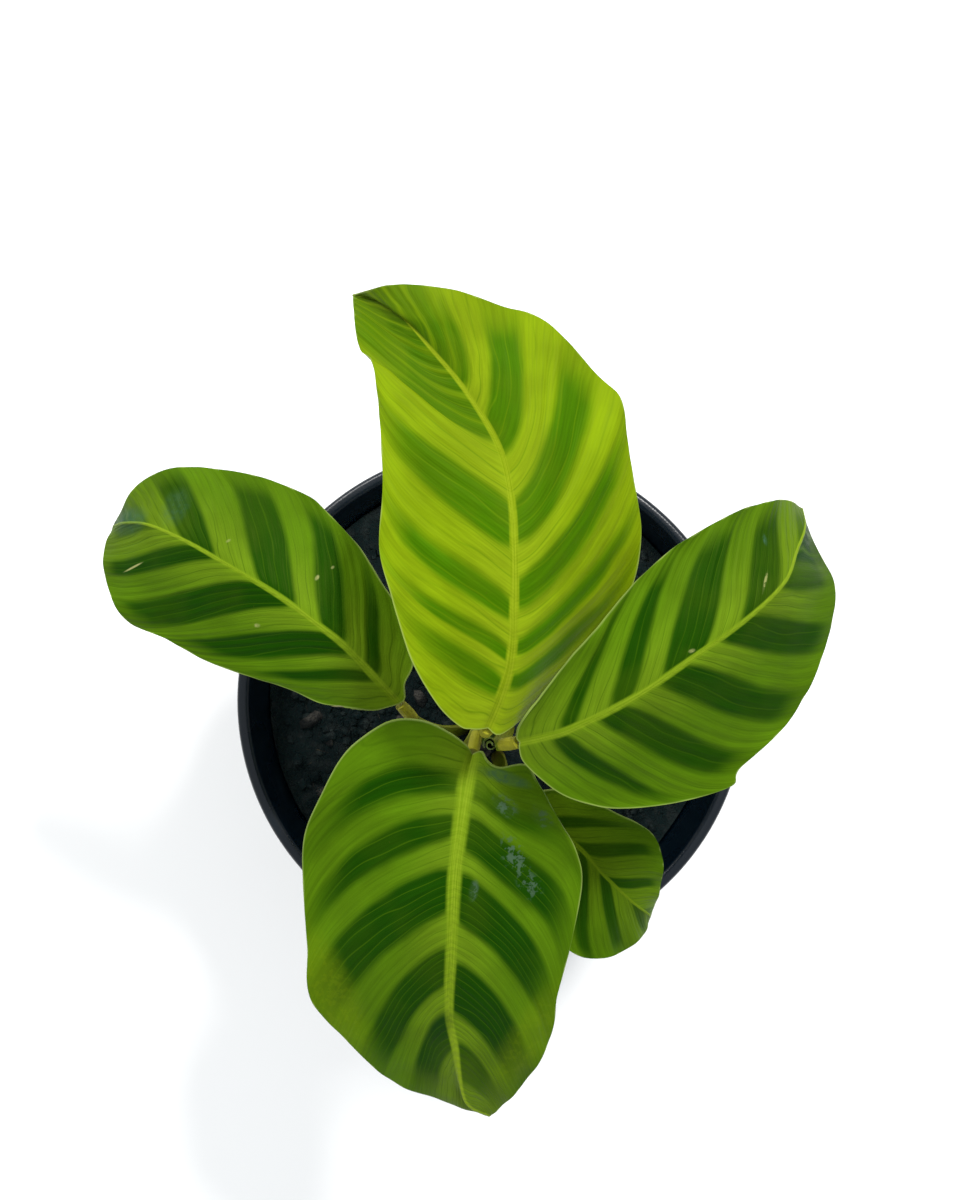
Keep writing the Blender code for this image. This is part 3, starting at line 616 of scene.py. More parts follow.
class Graph:
    """A material or group node tree, with short calls for the nodes used here."""

    def __init__(self, tree: bpy.types.NodeTree) -> None:
        """Keep the tree that the nodes go into."""
        self.tree = tree

    def add(self, kind: str, **settings: object) -> bpy.types.Node:
        """Add a node and set its properties.

        Args:
            kind: the node's type.
            settings: the node's properties.

        Returns:
            The node.
        """
        node = self.tree.nodes.new(kind)
        for name, value in settings.items():
            setattr(node, name, value)
        return node

    def feed(self, socket: bpy.types.NodeSocket, value: object) -> None:
        """Link an output to a socket, or set the socket to a plain value.

        Args:
            socket: an input of a node.
            value: an output of a node, or a plain value.
        """
        if isinstance(value, bpy.types.NodeSocket):
            self.tree.links.new(value, socket)
        else:
            socket.default_value = value

    def fed(self, kind: str, values: dict, **settings: object) -> bpy.types.Node:
        """Add a node and feed its inputs.

        Args:
            kind: the node's type.
            values: value by the name or number of each input.
            settings: the node's properties.

        Returns:
            The node.
        """
        node = self.add(kind, **settings)
        for key, value in values.items():
            self.feed(node.inputs[key], value)
        return node

    def math(self, operation: str, *values: object) -> bpy.types.NodeSocket:
        """Return the output of a Math node."""
        node = self.fed("ShaderNodeMath", dict(enumerate(values)), operation=operation)
        return node.outputs[0]

    def product(self, first: object, *others: object) -> bpy.types.NodeSocket:
        """Return the product of values.

        Args:
            first: the first value.
            others: the values to multiply it by.

        Returns:
            The product.
        """
        result = first
        for value in others:
            result = self.math("MULTIPLY", result, value)
        return result

    def mix(self, share: object, first: object, second: object,
            blend: str = "MIX") -> bpy.types.NodeSocket:
        """Return the output of a colour Mix node.

        Args:
            share: shares of 0 to 1.
            first: the first value.
            second: the colour at a share of 1.
            blend: how the colours are blended.

        Returns:
            The colour.
        """
        values = dict(zip(MIX_SOCKETS, (share, first, second)))
        node = self.fed("ShaderNodeMix", values, data_type="RGBA", blend_type=blend)
        return node.outputs[MIX_RESULT]

    def tint(self, colour: object, shade: object) -> bpy.types.NodeSocket:
        """Return a colour made darker or lighter by a value."""
        return self.mix(1.0, colour, self.combine(shade, shade, shade), "MULTIPLY")

    def lay(self, colour: object, tone: tuple, *masks: object) -> bpy.types.NodeSocket:
        """Return a colour with a tone of screen values laid over it by the product of masks."""
        return self.mix(self.product(*masks), colour, linear(tone))

    def mark(self, name: str) -> bpy.types.NodeSocket:
        """Return a mesh attribute as a value."""
        return self.add("ShaderNodeAttribute", attribute_name=name).outputs["Fac"]

    def step(self, value: object, low: object, high: object,
             bottom: float = 0.0, top: float = 1.0) -> bpy.types.NodeSocket:
        """Return a soft step of a value between two limits."""
        values = dict(enumerate((value, low, high, bottom, top)))
        return self.fed("ShaderNodeMapRange", values, interpolation_type="SMOOTHSTEP").outputs[0]

    def spread(self, noise: object, least: float, most: float) -> bpy.types.NodeSocket:
        """Return a noise spread softly between two values."""
        return self.step(noise, *NOISE_RANGE, least, most)

    def combine(self, x: object, y: object, z: object) -> bpy.types.NodeSocket:
        """Return a vector of three values."""
        return self.fed("ShaderNodeCombineXYZ", {"X": x, "Y": y, "Z": z}).outputs[0]

    def noise(self, vector: object, scale: float = 1.0, detail: float = 2.0,
              roughness: float = 0.5) -> bpy.types.NodeSocket:
        """Return the value of a Noise texture."""
        values = {"Vector": vector, "Scale": scale, "Detail": detail, "Roughness": roughness}
        return self.fed("ShaderNodeTexNoise", values).outputs[0]

    def threads(self, across: tuple, along: tuple, detail: float = THREAD_DETAIL,
                roughness: float = 0.5) -> bpy.types.NodeSocket:
        """Return a noise drawn out into threads.

        Args:
            across: a value and its number of threads.
            along: a value and how often the threads change along it.
            detail: detail of the noise.
            roughness: roughness of the noise.

        Returns:
            The noise's value.
        """
        vector = self.combine(self.product(*across), self.product(*along), 0.0)
        return self.noise(vector, 1.0, detail, roughness)

    def place(self) -> bpy.types.NodeSocket:
        """Return the place on the object, in metres."""
        return self.add("ShaderNodeTexCoord").outputs["Object"]

    def bump(self, height: object, distance: float) -> bpy.types.NodeSocket:
        """Return a normal bumped by a height, with the bump's depth in millimetres."""
        values = {"Height": height, "Strength": 1.0, "Distance": distance * MM}
        return self.fed("ShaderNodeBump", values).outputs[0]

    def weigh(self, *layers: tuple) -> bpy.types.NodeSocket:
        """Return the sum of values, each given with its weight.

        Args:
            layers: pairs of a value and its weight.

        Returns:
            The sum.
        """
        total, *others = [self.product(*layer) for layer in layers]
        for value in others:
            total = self.math("ADD", total, value)
        return total

    def group(self, group: bpy.types.NodeTree, **values: object) -> bpy.types.Node:
        """Place a node group and feed its inputs by name."""
        return self.fed("ShaderNodeGroup", values, node_tree=group)

    def ramp(self, value: object, stops: list) -> bpy.types.NodeSocket:
        """Return a ramp of (position, grey) stops as a value.

        Args:
            value: an output of a node, or a plain value.
            stops: the ramp's stops, in rising order.

        Returns:
            The ramp's value.
        """
        node = self.add("ShaderNodeValToRGB")
        ramp = node.color_ramp
        ramp.interpolation = "EASE"
        while len(ramp.elements) < len(stops):
            ramp.elements.new(1.0)
        for element, (position, grey) in zip(ramp.elements, stops):
            element.position = position
            element.color = (grey, grey, grey, 1.0)
        self.feed(node.inputs[0], value)
        return node.outputs[0]


def new_group(name: str, inputs: dict, outputs: tuple) -> tuple:
    """Start a shader node group of plain values.

    Args:
        name: the group's name.
        inputs: name and starting value of each input.
        outputs: name of each output.

    Returns:
        The tree, its graph, the outputs of its input node and the inputs of its output node.
    """
    tree = bpy.data.node_groups.new(name, "ShaderNodeTree")
    for socket_name, value in inputs.items():
        socket = tree.interface.new_socket(socket_name, in_out="INPUT", socket_type=NUMBER)
        socket.default_value = value
    for socket_name in outputs:
        tree.interface.new_socket(socket_name, in_out="OUTPUT", socket_type=NUMBER)
    graph = Graph(tree)
    return tree, graph, graph.add("NodeGroupInput").outputs, graph.add("NodeGroupOutput").inputs


def vein_line_group() -> bpy.types.NodeTree:
    """Return the group that draws thin side veins at even steps of the vein mark.

    Returns:
        The group.
    """
    inputs = {"Vein": 0.0, "Reach": 0.0, "Count": 40.0, "Width": 0.2}
    tree, graph, entry, result = new_group("side_veins", inputs, ("Mask", "Relief"))
    waver = graph.noise(graph.combine(graph.product(entry["Vein"], WAVER_ACROSS),
                                      graph.product(entry["Reach"], WAVER_ALONG),
                                      graph.math("SIGN", entry["Reach"])))
    shifted = graph.math("ADD", entry["Vein"], graph.product(waver, WAVER_SIZE))
    turns = graph.product(shifted, entry["Count"])
    distance = graph.math("ABSOLUTE", graph.math("SUBTRACT", graph.math("FRACT", turns), 0.5))
    soft = graph.math("DIVIDE", distance, graph.product(entry["Width"], 0.5))
    graph.feed(result["Mask"], graph.step(soft, 1.0, 0.0))
    graph.feed(result["Relief"], graph.math("COSINE", graph.product(turns, math.tau)))
    return tree


def streak_group() -> bpy.types.NodeTree:
    """Return the group that draws fine streaks which run along the side veins.

    Returns:
        The group.
    """
    inputs = {"Vein": 0.0, "Reach": 0.0, "Across": 150.0, "Along": 5.0}
    tree, graph, entry, result = new_group("vein_streaks", inputs, ("Value",))
    threads = graph.threads((entry["Vein"], entry["Across"]), (entry["Reach"], entry["Along"]),
                            THREAD_DETAIL, THREAD_ROUGHNESS)
    graph.feed(result["Value"], threads)
    return tree


def mottle_group() -> bpy.types.NodeTree:
    """Return the group for soft blotches with a finer grain over them.

    Returns:
        The group.
    """
    inputs = {"Coarse": 60.0, "Fine": 600.0}
    tree, graph, entry, result = new_group("mottle", inputs, ("Blotch", "Grain"))
    place = graph.place()
    for output, scale in (("Blotch", "Coarse"), ("Grain", "Fine")):
        graph.feed(result[output], graph.noise(place, entry[scale]))
    return tree


@dataclass
class Effects:
    """The shader groups that more than one finish uses."""

    veins: bpy.types.NodeTree = field(default_factory=vein_line_group)
    streaks: bpy.types.NodeTree = field(default_factory=streak_group)
    mottle: bpy.types.NodeTree = field(default_factory=mottle_group)


def new_material(name: str) -> tuple:
    """Start a node material.

    Args:
        name: the material's name.

    Returns:
        The material, its graph and its Principled shader.
    """
    material = bpy.data.materials.new(name)
    material.use_nodes = True
    graph = Graph(material.node_tree)
    return material, graph, material.node_tree.nodes["Principled BSDF"]


def band_stops(bands: tuple, feather: float) -> list:
    """Return ramp stops that are 1 inside the bands and 0 between them.

    Args:
        bands: (start, end) pairs in rising order.
        feather: width of the soft edge of each band.

    Returns:
        Stops as (position, grey), from 0 to 1.
    """
    stops = []
    for start, end in bands:
        middle = (start + end) / 2
        rise = min(feather, middle - start)
        stops += [(start - feather, 0.0), (start + rise, 1.0),
                  (end - rise, 1.0), (end + feather, 0.0)]
    kept = []
    for position, grey in stops:
        floor = kept[-1][0] + LEAST_STOP_GAP if kept else 0.0
        kept.append((min(max(position, floor), 1.0), grey))
    return kept


@dataclass(frozen=True)
class BladeFinish:
    """Upper face of a striped blade.

    Pairs are a start and an end, in millimetres, in shares of the midrib (vein) or of a side
    vein (reach), or two strengths.
    """

    pattern: LeafPattern
    place: str
    blotch_scale: float = 45.0
    grain_scale: float = 900.0
    streak_count: float = 150.0
    streak_change: float = 3.0
    fine_count: float = 140.0
    tip_count: float = 17.0
    line_width: float = 0.16
    broad_width: float = 0.5
    band_drift: float = 0.02
    band_softness: float = 0.4
    root_reach: float = 0.12
    root_limits: tuple = (0.62, 0.42)
    narrowing_from: float = 0.2
    narrowing: float = 0.3
    rib_clearing: tuple = (0.35, 0.8)
    raggedness: float = 10.0
    margin_strength: float = 0.25
    tip_strength: float = 0.85
    tip_rise: tuple = (-0.02, 0.05)
    fading_veins: tuple = (0.6, 0.9)
    faded_strength: float = 0.6
    cloud_range: tuple = (0.35, 0.6)
    cloud_strength: float = 0.88
    glow_reach: tuple = (22.0, 1.0)
    glow_strength: float = 0.32
    streak_shade: tuple = (0.88, 1.08)
    blotch_shade: tuple = (0.88, 1.1)
    # Painted light: the blade is made lighter near its base and darker toward its tip
    length_veins: tuple = (0.25, 1.0)
    painted_light_falloff: tuple = (1.05, 0.86)
    tip_line_reach: tuple = (1.0, 20.0)
    tip_line_strength: tuple = (0.45, 0.05)
    dark_line_reach: tuple = (4.0, 24.0)
    dark_line_strength: tuple = (0.42, 0.16)
    rib_taper: tuple = (1.05, 0.85)
    rib_edge: tuple = (0.72, 0.26)
    rib_threads: tuple = (2.4, 5.0)
    thread_range: tuple = (0.35, 0.65)
    threaded_veins: tuple = (0.5, 0.8)
    edge_reach: tuple = (0.6, 0.15)
    edge_strength: float = 0.55
    speck_range: tuple = (0.765, 0.8)
    speck_strength: float = 0.35
    speck_tone: tuple = (70, 62, 20)
    patch_grain: float = 420.0
    patch_roughness: float = 0.65
    patch_range: tuple = (0.48, 0.6)
    patch_core: float = 0.35
    rough: tuple = (0.44, 0.58)
    gloss: float = 0.1
    gloss_tint: tuple = (0.7, 1.0, 0.15, 1.0)
    vein_relief: float = 0.5
    fine_relief: float = 0.1
    grain_relief: float = 0.35
    relief_depth: float = 0.1

    def rib_share(self, graph: Graph) -> bpy.types.NodeSocket:
        """Return the distance to the midrib's middle against the midrib's tapering width.

        Args:
            graph: the material's graph.

        Returns:
            The share.
        """
        full, taper = self.rib_taper
        share = graph.math("SUBTRACT", full, graph.product(graph.mark("vein"), taper))
        width = graph.product(self.pattern.midrib_width, share)
        return graph.math("DIVIDE", graph.mark("rib_mm"), width)

    def right_half(self, graph: Graph) -> bpy.types.NodeSocket:
        """Return 1 on the right half of the blade and 0 on the left."""
        return graph.math("GREATER_THAN", graph.mark("reach"), 0.0)

    def dark_tip(self, graph: Graph) -> bpy.types.NodeSocket:
        """Return 1 in the dark tip of the blade, which may start at another place on each side.

        Args:
            graph: the material's graph.

        Returns:
            A value of 0 to 1.
        """
        left, right = self.pattern.tips
        start = graph.math("ADD", graph.product(self.right_half(graph), right - left), left)
        return graph.step(graph.math("SUBTRACT", graph.mark("vein"), start), *self.tip_rise)

    def lines(self, graph: Graph, effects: Effects, count: float, width: float) -> bpy.types.Node:
        """Place the side vein group with a number of veins and their width."""
        return graph.group(effects.veins, Vein=graph.mark("vein"), Reach=graph.mark("reach"),
                           Count=count, Width=width)

    def stripes(self, graph: Graph, mottle: bpy.types.Node,
                tip: bpy.types.NodeSocket) -> bpy.types.NodeSocket:
        """Return the mask of the dark stripes.

        The stripes are widest near the midrib. They narrow on the way out and fade at the margin.

        Args:
            graph: the material's graph.
            mottle: the placed mottle group.
            tip: 1 in the dark tip of the blade.

        Returns:
            A value of 0 on the ground colour and 1 on a stripe.
        """
        pattern = self.pattern
        blotch = graph.math("SUBTRACT", mottle.outputs["Blotch"], 0.5)
        shifted = graph.math("ADD", graph.mark("vein"), graph.product(blotch, self.band_drift))
        halves = [graph.ramp(shifted, band_stops(bands, pattern.feather))
                  for bands in (pattern.left_bands, pattern.right_bands)]
        out = graph.math("ABSOLUTE", graph.mark("reach"))
        limit = graph.math("ADD", graph.step(out, 0.0, self.root_reach, *self.root_limits),
                           graph.step(out, self.narrowing_from, 1.0, 0.0, self.narrowing))
        bands = graph.step(graph.mix(self.right_half(graph), *halves),
                           graph.math("SUBTRACT", limit, self.band_softness),
                           graph.math("ADD", limit, self.band_softness))
        ragged = graph.math("ADD", graph.mark("edge_mm"), graph.product(blotch, self.raggedness))
        margin = graph.step(ragged, 0.0, pattern.band_margin, self.margin_strength, 1.0)
        margin = graph.math("MAXIMUM", margin, graph.product(tip, self.tip_strength))
        faded = graph.step(graph.mark("vein"), *self.fading_veins, 1.0, self.faded_strength)
        cloud = graph.step(mottle.outputs["Blotch"], *self.cloud_range, self.cloud_strength, 1.0)
        clearing = graph.step(self.rib_share(graph), *self.rib_clearing)
        return graph.product(bands, graph.math("MAXIMUM", tip, faded), cloud, clearing, margin)

    def ground(self, graph: Graph, mask: bpy.types.NodeSocket, mottle: bpy.types.Node,
               streaks: bpy.types.Node) -> bpy.types.NodeSocket:
        """Return the blade's colour without its lines.

        Args:
            graph: the material's graph.
            mask: 1 on a dark stripe.
            mottle: the placed mottle group.
            streaks: the placed streak group.

        Returns:
            The colour.
        """
        pattern = self.pattern
        calm = graph.math("SUBTRACT", 1.0, mask)
        glow = graph.step(graph.mark("rib_mm"), *self.glow_reach, 0.0, self.glow_strength)
        colour = graph.mix(mask, linear(pattern.ground), linear(pattern.dark))
        colour = graph.lay(colour, pattern.pale, calm, glow)
        colour = graph.tint(colour, graph.spread(streaks.outputs["Value"], *self.streak_shade))
        colour = graph.tint(colour, graph.spread(mottle.outputs["Blotch"], *self.blotch_shade))
        # Painted light: lighter near the base, darker toward the tip
        shade = graph.step(graph.mark("vein"), *self.length_veins, *self.painted_light_falloff)
        return graph.tint(colour, shade)

    def draw_veins(self, graph: Graph, colour: bpy.types.NodeSocket, mask: bpy.types.NodeSocket,
                   veins: bpy.types.NodeSocket) -> bpy.types.NodeSocket:
        """Return the colour with its side veins, pale on the stripes and dark between them.

        Args:
            graph: the material's graph.
            colour: the colour so far.
            mask: 1 on a dark stripe.
            veins: the mask of the side veins.

        Returns:
            The new colour.
        """
        pattern = self.pattern
        calm = graph.math("SUBTRACT", 1.0, mask)
        colour = graph.lay(colour, pattern.ground, veins, mask, pattern.vein_strength)
        near_rib = graph.step(graph.mark("rib_mm"), *self.dark_line_reach, *self.dark_line_strength)
        return graph.lay(colour, pattern.dark, veins, calm, near_rib)

    def draw_tip(self, graph: Graph, colour: bpy.types.NodeSocket, tip: bpy.types.NodeSocket,
                 effects: Effects) -> bpy.types.NodeSocket:
        """Return the colour with the pale streaks of the dark tip.

        Args:
            graph: the material's graph.
            colour: the colour so far.
            tip: 1 in the dark tip of the blade.
            effects: the shared shader groups.

        Returns:
            The new colour.
        """
        streaks = self.lines(graph, effects, self.tip_count, self.broad_width).outputs["Mask"]
        reach = graph.step(graph.mark("rib_mm"), *self.tip_line_reach, *self.tip_line_strength)
        return graph.lay(colour, self.pattern.ground, streaks, tip, reach)

    def draw_midrib(self, graph: Graph, colour: bpy.types.NodeSocket) -> bpy.types.NodeSocket:
        """Return the colour with the pale midrib, which is threaded in its lower part.

        Args:
            graph: the material's graph.
            colour: the colour so far.

        Returns:
            The new colour.
        """
        pattern = self.pattern
        across, along = self.rib_threads
        side = graph.product(graph.math("SIGN", graph.mark("reach")), graph.mark("rib_mm"))
        threads = graph.threads((side, across), (graph.mark("vein"), along), 2.0)
        threaded = graph.product(graph.step(threads, *self.thread_range),
                                 graph.step(graph.mark("vein"), *self.threaded_veins, 1.0, 0.0))
        tone = graph.mix(threaded, linear(pattern.pale), linear(pattern.rib_thread))
        rib = graph.step(self.rib_share(graph), *self.rib_edge)
        return graph.mix(graph.product(rib, pattern.midrib_strength), colour, tone)

    def add_patches(self, graph: Graph, colour: bpy.types.NodeSocket) -> bpy.types.NodeSocket:
        """Return the colour with the leaf's stains, dry marks, painted sheen and painted shade laid
        over it.

        Args:
            graph: the material's graph.
            colour: the colour so far.

        Returns:
            The new colour.
        """
        if not self.pattern.patches:
            return colour
        grain = graph.noise(graph.place(), self.patch_grain, THREAD_DETAIL, self.patch_roughness)
        specks = graph.step(grain, *self.patch_range)
        for patch in self.pattern.patches:
            values = {
                "Vector": graph.place(),
                "Location": (patch.x * MM, patch.y * MM, 0.0),
                "Rotation": (0.0, 0.0, math.radians(patch.turn)),
                "Scale": (patch.half_length * MM, patch.half_width * MM, FLAT_SCALE),
            }
            spot = graph.fed("ShaderNodeMapping", values, vector_type="TEXTURE").outputs[0]
            length = graph.fed("ShaderNodeVectorMath", {0: spot}, operation="LENGTH")
            soft = graph.step(length.outputs["Value"], 1.0, self.patch_core, 0.0, patch.strength)
            broken = graph.step(specks, 0.0, 1.0, 1.0 - patch.grain, 1.0)
            colour = graph.lay(colour, patch.colour, soft, broken)
        return colour

    def make(self, effects: Effects) -> bpy.types.Material:
        """Return the finished material.

        Args:
            effects: the shared shader groups.

        Returns:
            The material.
        """
        material, graph, shader = new_material(f"blade_top_{self.place}")
        mottle = graph.group(effects.mottle, Coarse=self.blotch_scale, Fine=self.grain_scale)
        streaks = graph.group(effects.streaks, Vein=graph.mark("vein"), Reach=graph.mark("reach"),
                              Across=self.streak_count, Along=self.streak_change)
        veins = self.lines(graph, effects, self.pattern.vein_count, self.line_width)
        fine = self.lines(graph, effects, self.fine_count, self.broad_width)
        tip = self.dark_tip(graph)
        mask = self.stripes(graph, mottle, tip)
        colour = self.ground(graph, mask, mottle, streaks)
        colour = self.draw_tip(graph, colour, tip, effects)
        colour = self.draw_veins(graph, colour, mask, veins.outputs["Mask"])
        colour = self.draw_midrib(graph, colour)
        edge = graph.step(graph.mark("edge_mm"), *self.edge_reach)
        colour = graph.lay(colour, self.pattern.margin_tone, edge, self.edge_strength)
        specks = graph.step(mottle.outputs["Grain"], *self.speck_range)
        colour = graph.lay(colour, self.speck_tone, specks, self.speck_strength)
        graph.feed(shader.inputs["Base Color"], self.add_patches(graph, colour))
        graph.feed(shader.inputs["Roughness"], graph.spread(streaks.outputs["Value"], *self.rough))
        shader.inputs["Specular IOR Level"].default_value = self.gloss
        shader.inputs["Specular Tint"].default_value = self.gloss_tint
        relief = graph.weigh((veins.outputs["Relief"], self.vein_relief),
                             (fine.outputs["Relief"], self.fine_relief),
                             (streaks.outputs["Value"], self.grain_relief),
                             (mottle.outputs["Grain"], self.grain_relief))
        graph.feed(shader.inputs["Normal"], graph.bump(relief, self.relief_depth))
        return material


@dataclass(frozen=True)
class UndersideFinish:
    """Lower face of a blade: dull green under a thin wine flush, with a pale raised midrib."""

    place: str
    flush: float
    green: tuple = (92, 112, 46)
    wine: tuple = (92, 48, 62)
    rib: tuple = (130, 144, 66)
    blotch_scale: float = 60.0
    grain_scale: float = 700.0
    vein_count: float = 34.0
    vein_width: float = 0.22
    vein_strength: float = 0.4
    streak_count: float = 150.0
    streak_change: float = 4.0
    flush_range: tuple = (0.25, 0.7)
    thinnest_flush: float = 0.7
    shade: tuple = (0.82, 1.15)
    rib_reach: tuple = (2.4, 1.0)
    rib_strength: float = 0.9
    rough: tuple = (0.5, 0.68)
    vein_relief: float = 0.9
    streak_relief: float = 0.5
    relief_depth: float = 0.18

    def make(self, effects: Effects) -> bpy.types.Material:
        """Return the finished material.

        Args:
            effects: the shared shader groups.

        Returns:
            The material.
        """
        material, graph, shader = new_material(f"blade_under_{self.place}")
        mottle = graph.group(effects.mottle, Coarse=self.blotch_scale, Fine=self.grain_scale)
        marks = {"Vein": graph.mark("vein"), "Reach": graph.mark("reach")}
        veins = graph.group(effects.veins, Count=self.vein_count, Width=self.vein_width, **marks)
        streaks = graph.group(effects.streaks, Across=self.streak_count, Along=self.streak_change,
                              **marks)
        flush = graph.step(mottle.outputs["Blotch"], *self.flush_range,
                           self.flush * self.thinnest_flush, self.flush)
        colour = graph.mix(flush, linear(self.green), linear(self.wine))
        colour = graph.tint(colour, graph.spread(streaks.outputs["Value"], *self.shade))
        colour = graph.lay(colour, self.rib, veins.outputs["Mask"], self.vein_strength)
        rib = graph.step(graph.mark("rib_mm"), *self.rib_reach)
        colour = graph.lay(colour, self.rib, rib, self.rib_strength)
        graph.feed(shader.inputs["Base Color"], colour)
        graph.feed(shader.inputs["Roughness"], graph.spread(mottle.outputs["Grain"], *self.rough))
        relief = graph.weigh((veins.outputs["Mask"], self.vein_relief),
                             (streaks.outputs["Value"], self.streak_relief))
        graph.feed(shader.inputs["Normal"], graph.bump(relief, self.relief_depth))
        return material


@dataclass(frozen=True)
class StalkFinish:
    """Olive stalk with pale wing edges, a brownish foot and a yellow joint under the blade."""

    foot: tuple = (70, 56, 26)
    body: tuple = (112, 120, 8)
    channel: tuple = (98, 112, 4)
    wing_edge: tuple = (140, 146, 54)
    joint: tuple = (144, 142, 26)
    blotch_scale: float = 160.0
    grain_scale: float = 1500.0
    thread_counts: tuple = (26.0, 4.0)
    inner_range: tuple = (0.2, 0.8)
    shade: tuple = (0.8, 1.2)
    foot_range: tuple = (0.26, 0.08)
    foot_raggedness: float = 0.14
    foot_strength: float = 0.7
    wing_strength: float = 0.8
    joint_shade: tuple = (0.85, 1.12)
    rough: tuple = (0.46, 0.66)
    gloss: float = 0.18
    thread_relief: float = 0.8
    grain_relief: tuple = (0.3, 1.1)
    relief_depth: float = 0.25

    def make(self, effects: Effects) -> bpy.types.Material:
        """Return the finished material.

        Args:
            effects: the shared shader groups.

        Returns:
            The material.
        """
        material, graph, shader = new_material("stalk")
        mottle = graph.group(effects.mottle, Coarse=self.blotch_scale, Fine=self.grain_scale)
        blotch = mottle.outputs["Blotch"]
        height = graph.mark("height")
        joint = graph.mark("joint")
        across, along = self.thread_counts
        threads = graph.threads((graph.mark("around"), across), (height, along),
                                THREAD_DETAIL, THREAD_ROUGHNESS)
        colour = graph.mix(graph.step(graph.mark("inner"), *self.inner_range),
                           linear(self.body), linear(self.channel))
        colour = graph.tint(colour, graph.spread(threads, *self.shade))
        ragged = graph.math("ADD", height, graph.product(blotch, self.foot_raggedness))
        foot = graph.step(ragged, *self.foot_range)
        colour = graph.lay(colour, self.foot, foot, self.foot_strength)
        colour = graph.lay(colour, self.wing_edge, graph.mark("wing"), self.wing_strength)
        joint_colour = graph.tint(linear(self.joint), graph.spread(blotch, *self.joint_shade))
        colour = graph.mix(joint, colour, joint_colour)
        graph.feed(shader.inputs["Base Color"], colour)
        graph.feed(shader.inputs["Roughness"], graph.step(joint, 0.0, 1.0, *self.rough))
        shader.inputs["Specular IOR Level"].default_value = self.gloss
        grain_weight = graph.step(joint, 0.0, 1.0, *self.grain_relief)
        relief = graph.weigh((threads, self.thread_relief), (mottle.outputs["Grain"], grain_weight))
        graph.feed(shader.inputs["Normal"], graph.bump(relief, self.relief_depth))
        return material


@dataclass(frozen=True)
class RolledLeafFinish:
    """Dark green roll with pale free edges and dim stripes across it."""

    green: tuple = (58, 88, 10)
    stripe: tuple = (28, 58, 6)
    edge: tuple = (112, 132, 50)
    blotch_scale: float = 150.0
    grain_scale: float = 1200.0
    stripe_turns: tuple = (60.0, 5.0)
    stripe_range: tuple = (-0.2, 0.6)
    stripe_strength: float = 0.7
    shade: tuple = (0.85, 1.15)
    edge_strength: float = 0.85
    rough: tuple = (0.4, 0.56)
    thread_counts: tuple = (30.0, 3.0)
    relief_depth: float = 0.2

    def make(self, effects: Effects) -> bpy.types.Material:
        """Return the finished material.

        Args:
            effects: the shared shader groups.

        Returns:
            The material.
        """
        material, graph, shader = new_material("rolled_leaf")
        mottle = graph.group(effects.mottle, Coarse=self.blotch_scale, Fine=self.grain_scale)
        height = graph.mark("height")
        around = graph.mark("around")
        up, round_it = self.stripe_turns
        slant = graph.math("SINE", graph.weigh((height, up), (around, round_it)))
        stripe = graph.step(slant, *self.stripe_range)
        colour = graph.lay(linear(self.green), self.stripe, stripe, self.stripe_strength)
        colour = graph.tint(colour, graph.spread(mottle.outputs["Blotch"], *self.shade))
        colour = graph.lay(colour, self.edge, graph.mark("edge"), self.edge_strength)
        graph.feed(shader.inputs["Base Color"], colour)
        graph.feed(shader.inputs["Roughness"], graph.spread(mottle.outputs["Grain"], *self.rough))
        across, along = self.thread_counts
        threads = graph.threads((around, across), (height, along))
        graph.feed(shader.inputs["Normal"], graph.bump(threads, self.relief_depth))
        return material


@dataclass(frozen=True)
class DryFinish:
    """Dry, papery brown skin with darker threads."""

    pale: tuple = (112, 90, 70)
    dark: tuple = (62, 42, 34)
    wine: tuple = (78, 50, 56)
    blotch_scale: float = 220.0
    grain_scale: float = 1500.0
    thread_counts: tuple = (14.0, 3.0)
    thread_detail: float = 4.0
    thread_range: tuple = (0.35, 0.62)
    wine_range: tuple = (0.5, 0.75)
    wine_strength: float = 0.6
    rough: tuple = (0.7, 0.9)
    relief_depth: float = 0.5

    def make(self, effects: Effects) -> bpy.types.Material:
        """Return the finished material.

        Args:
            effects: the shared shader groups.

        Returns:
            The material.
        """
        material, graph, shader = new_material("dry_sheath")
        mottle = graph.group(effects.mottle, Coarse=self.blotch_scale, Fine=self.grain_scale)
        across, along = self.thread_counts
        threads = graph.threads((graph.mark("around"), across), (graph.mark("height"), along),
                                self.thread_detail)
        colour = graph.lay(linear(self.pale), self.dark, graph.step(threads, *self.thread_range))
        wine = graph.step(mottle.outputs["Blotch"], *self.wine_range, 0.0, self.wine_strength)
        colour = graph.lay(colour, self.wine, wine)
        graph.feed(shader.inputs["Base Color"], colour)
        graph.feed(shader.inputs["Roughness"], graph.spread(mottle.outputs["Grain"], *self.rough))
        graph.feed(shader.inputs["Normal"], graph.bump(threads, self.relief_depth))
        return material


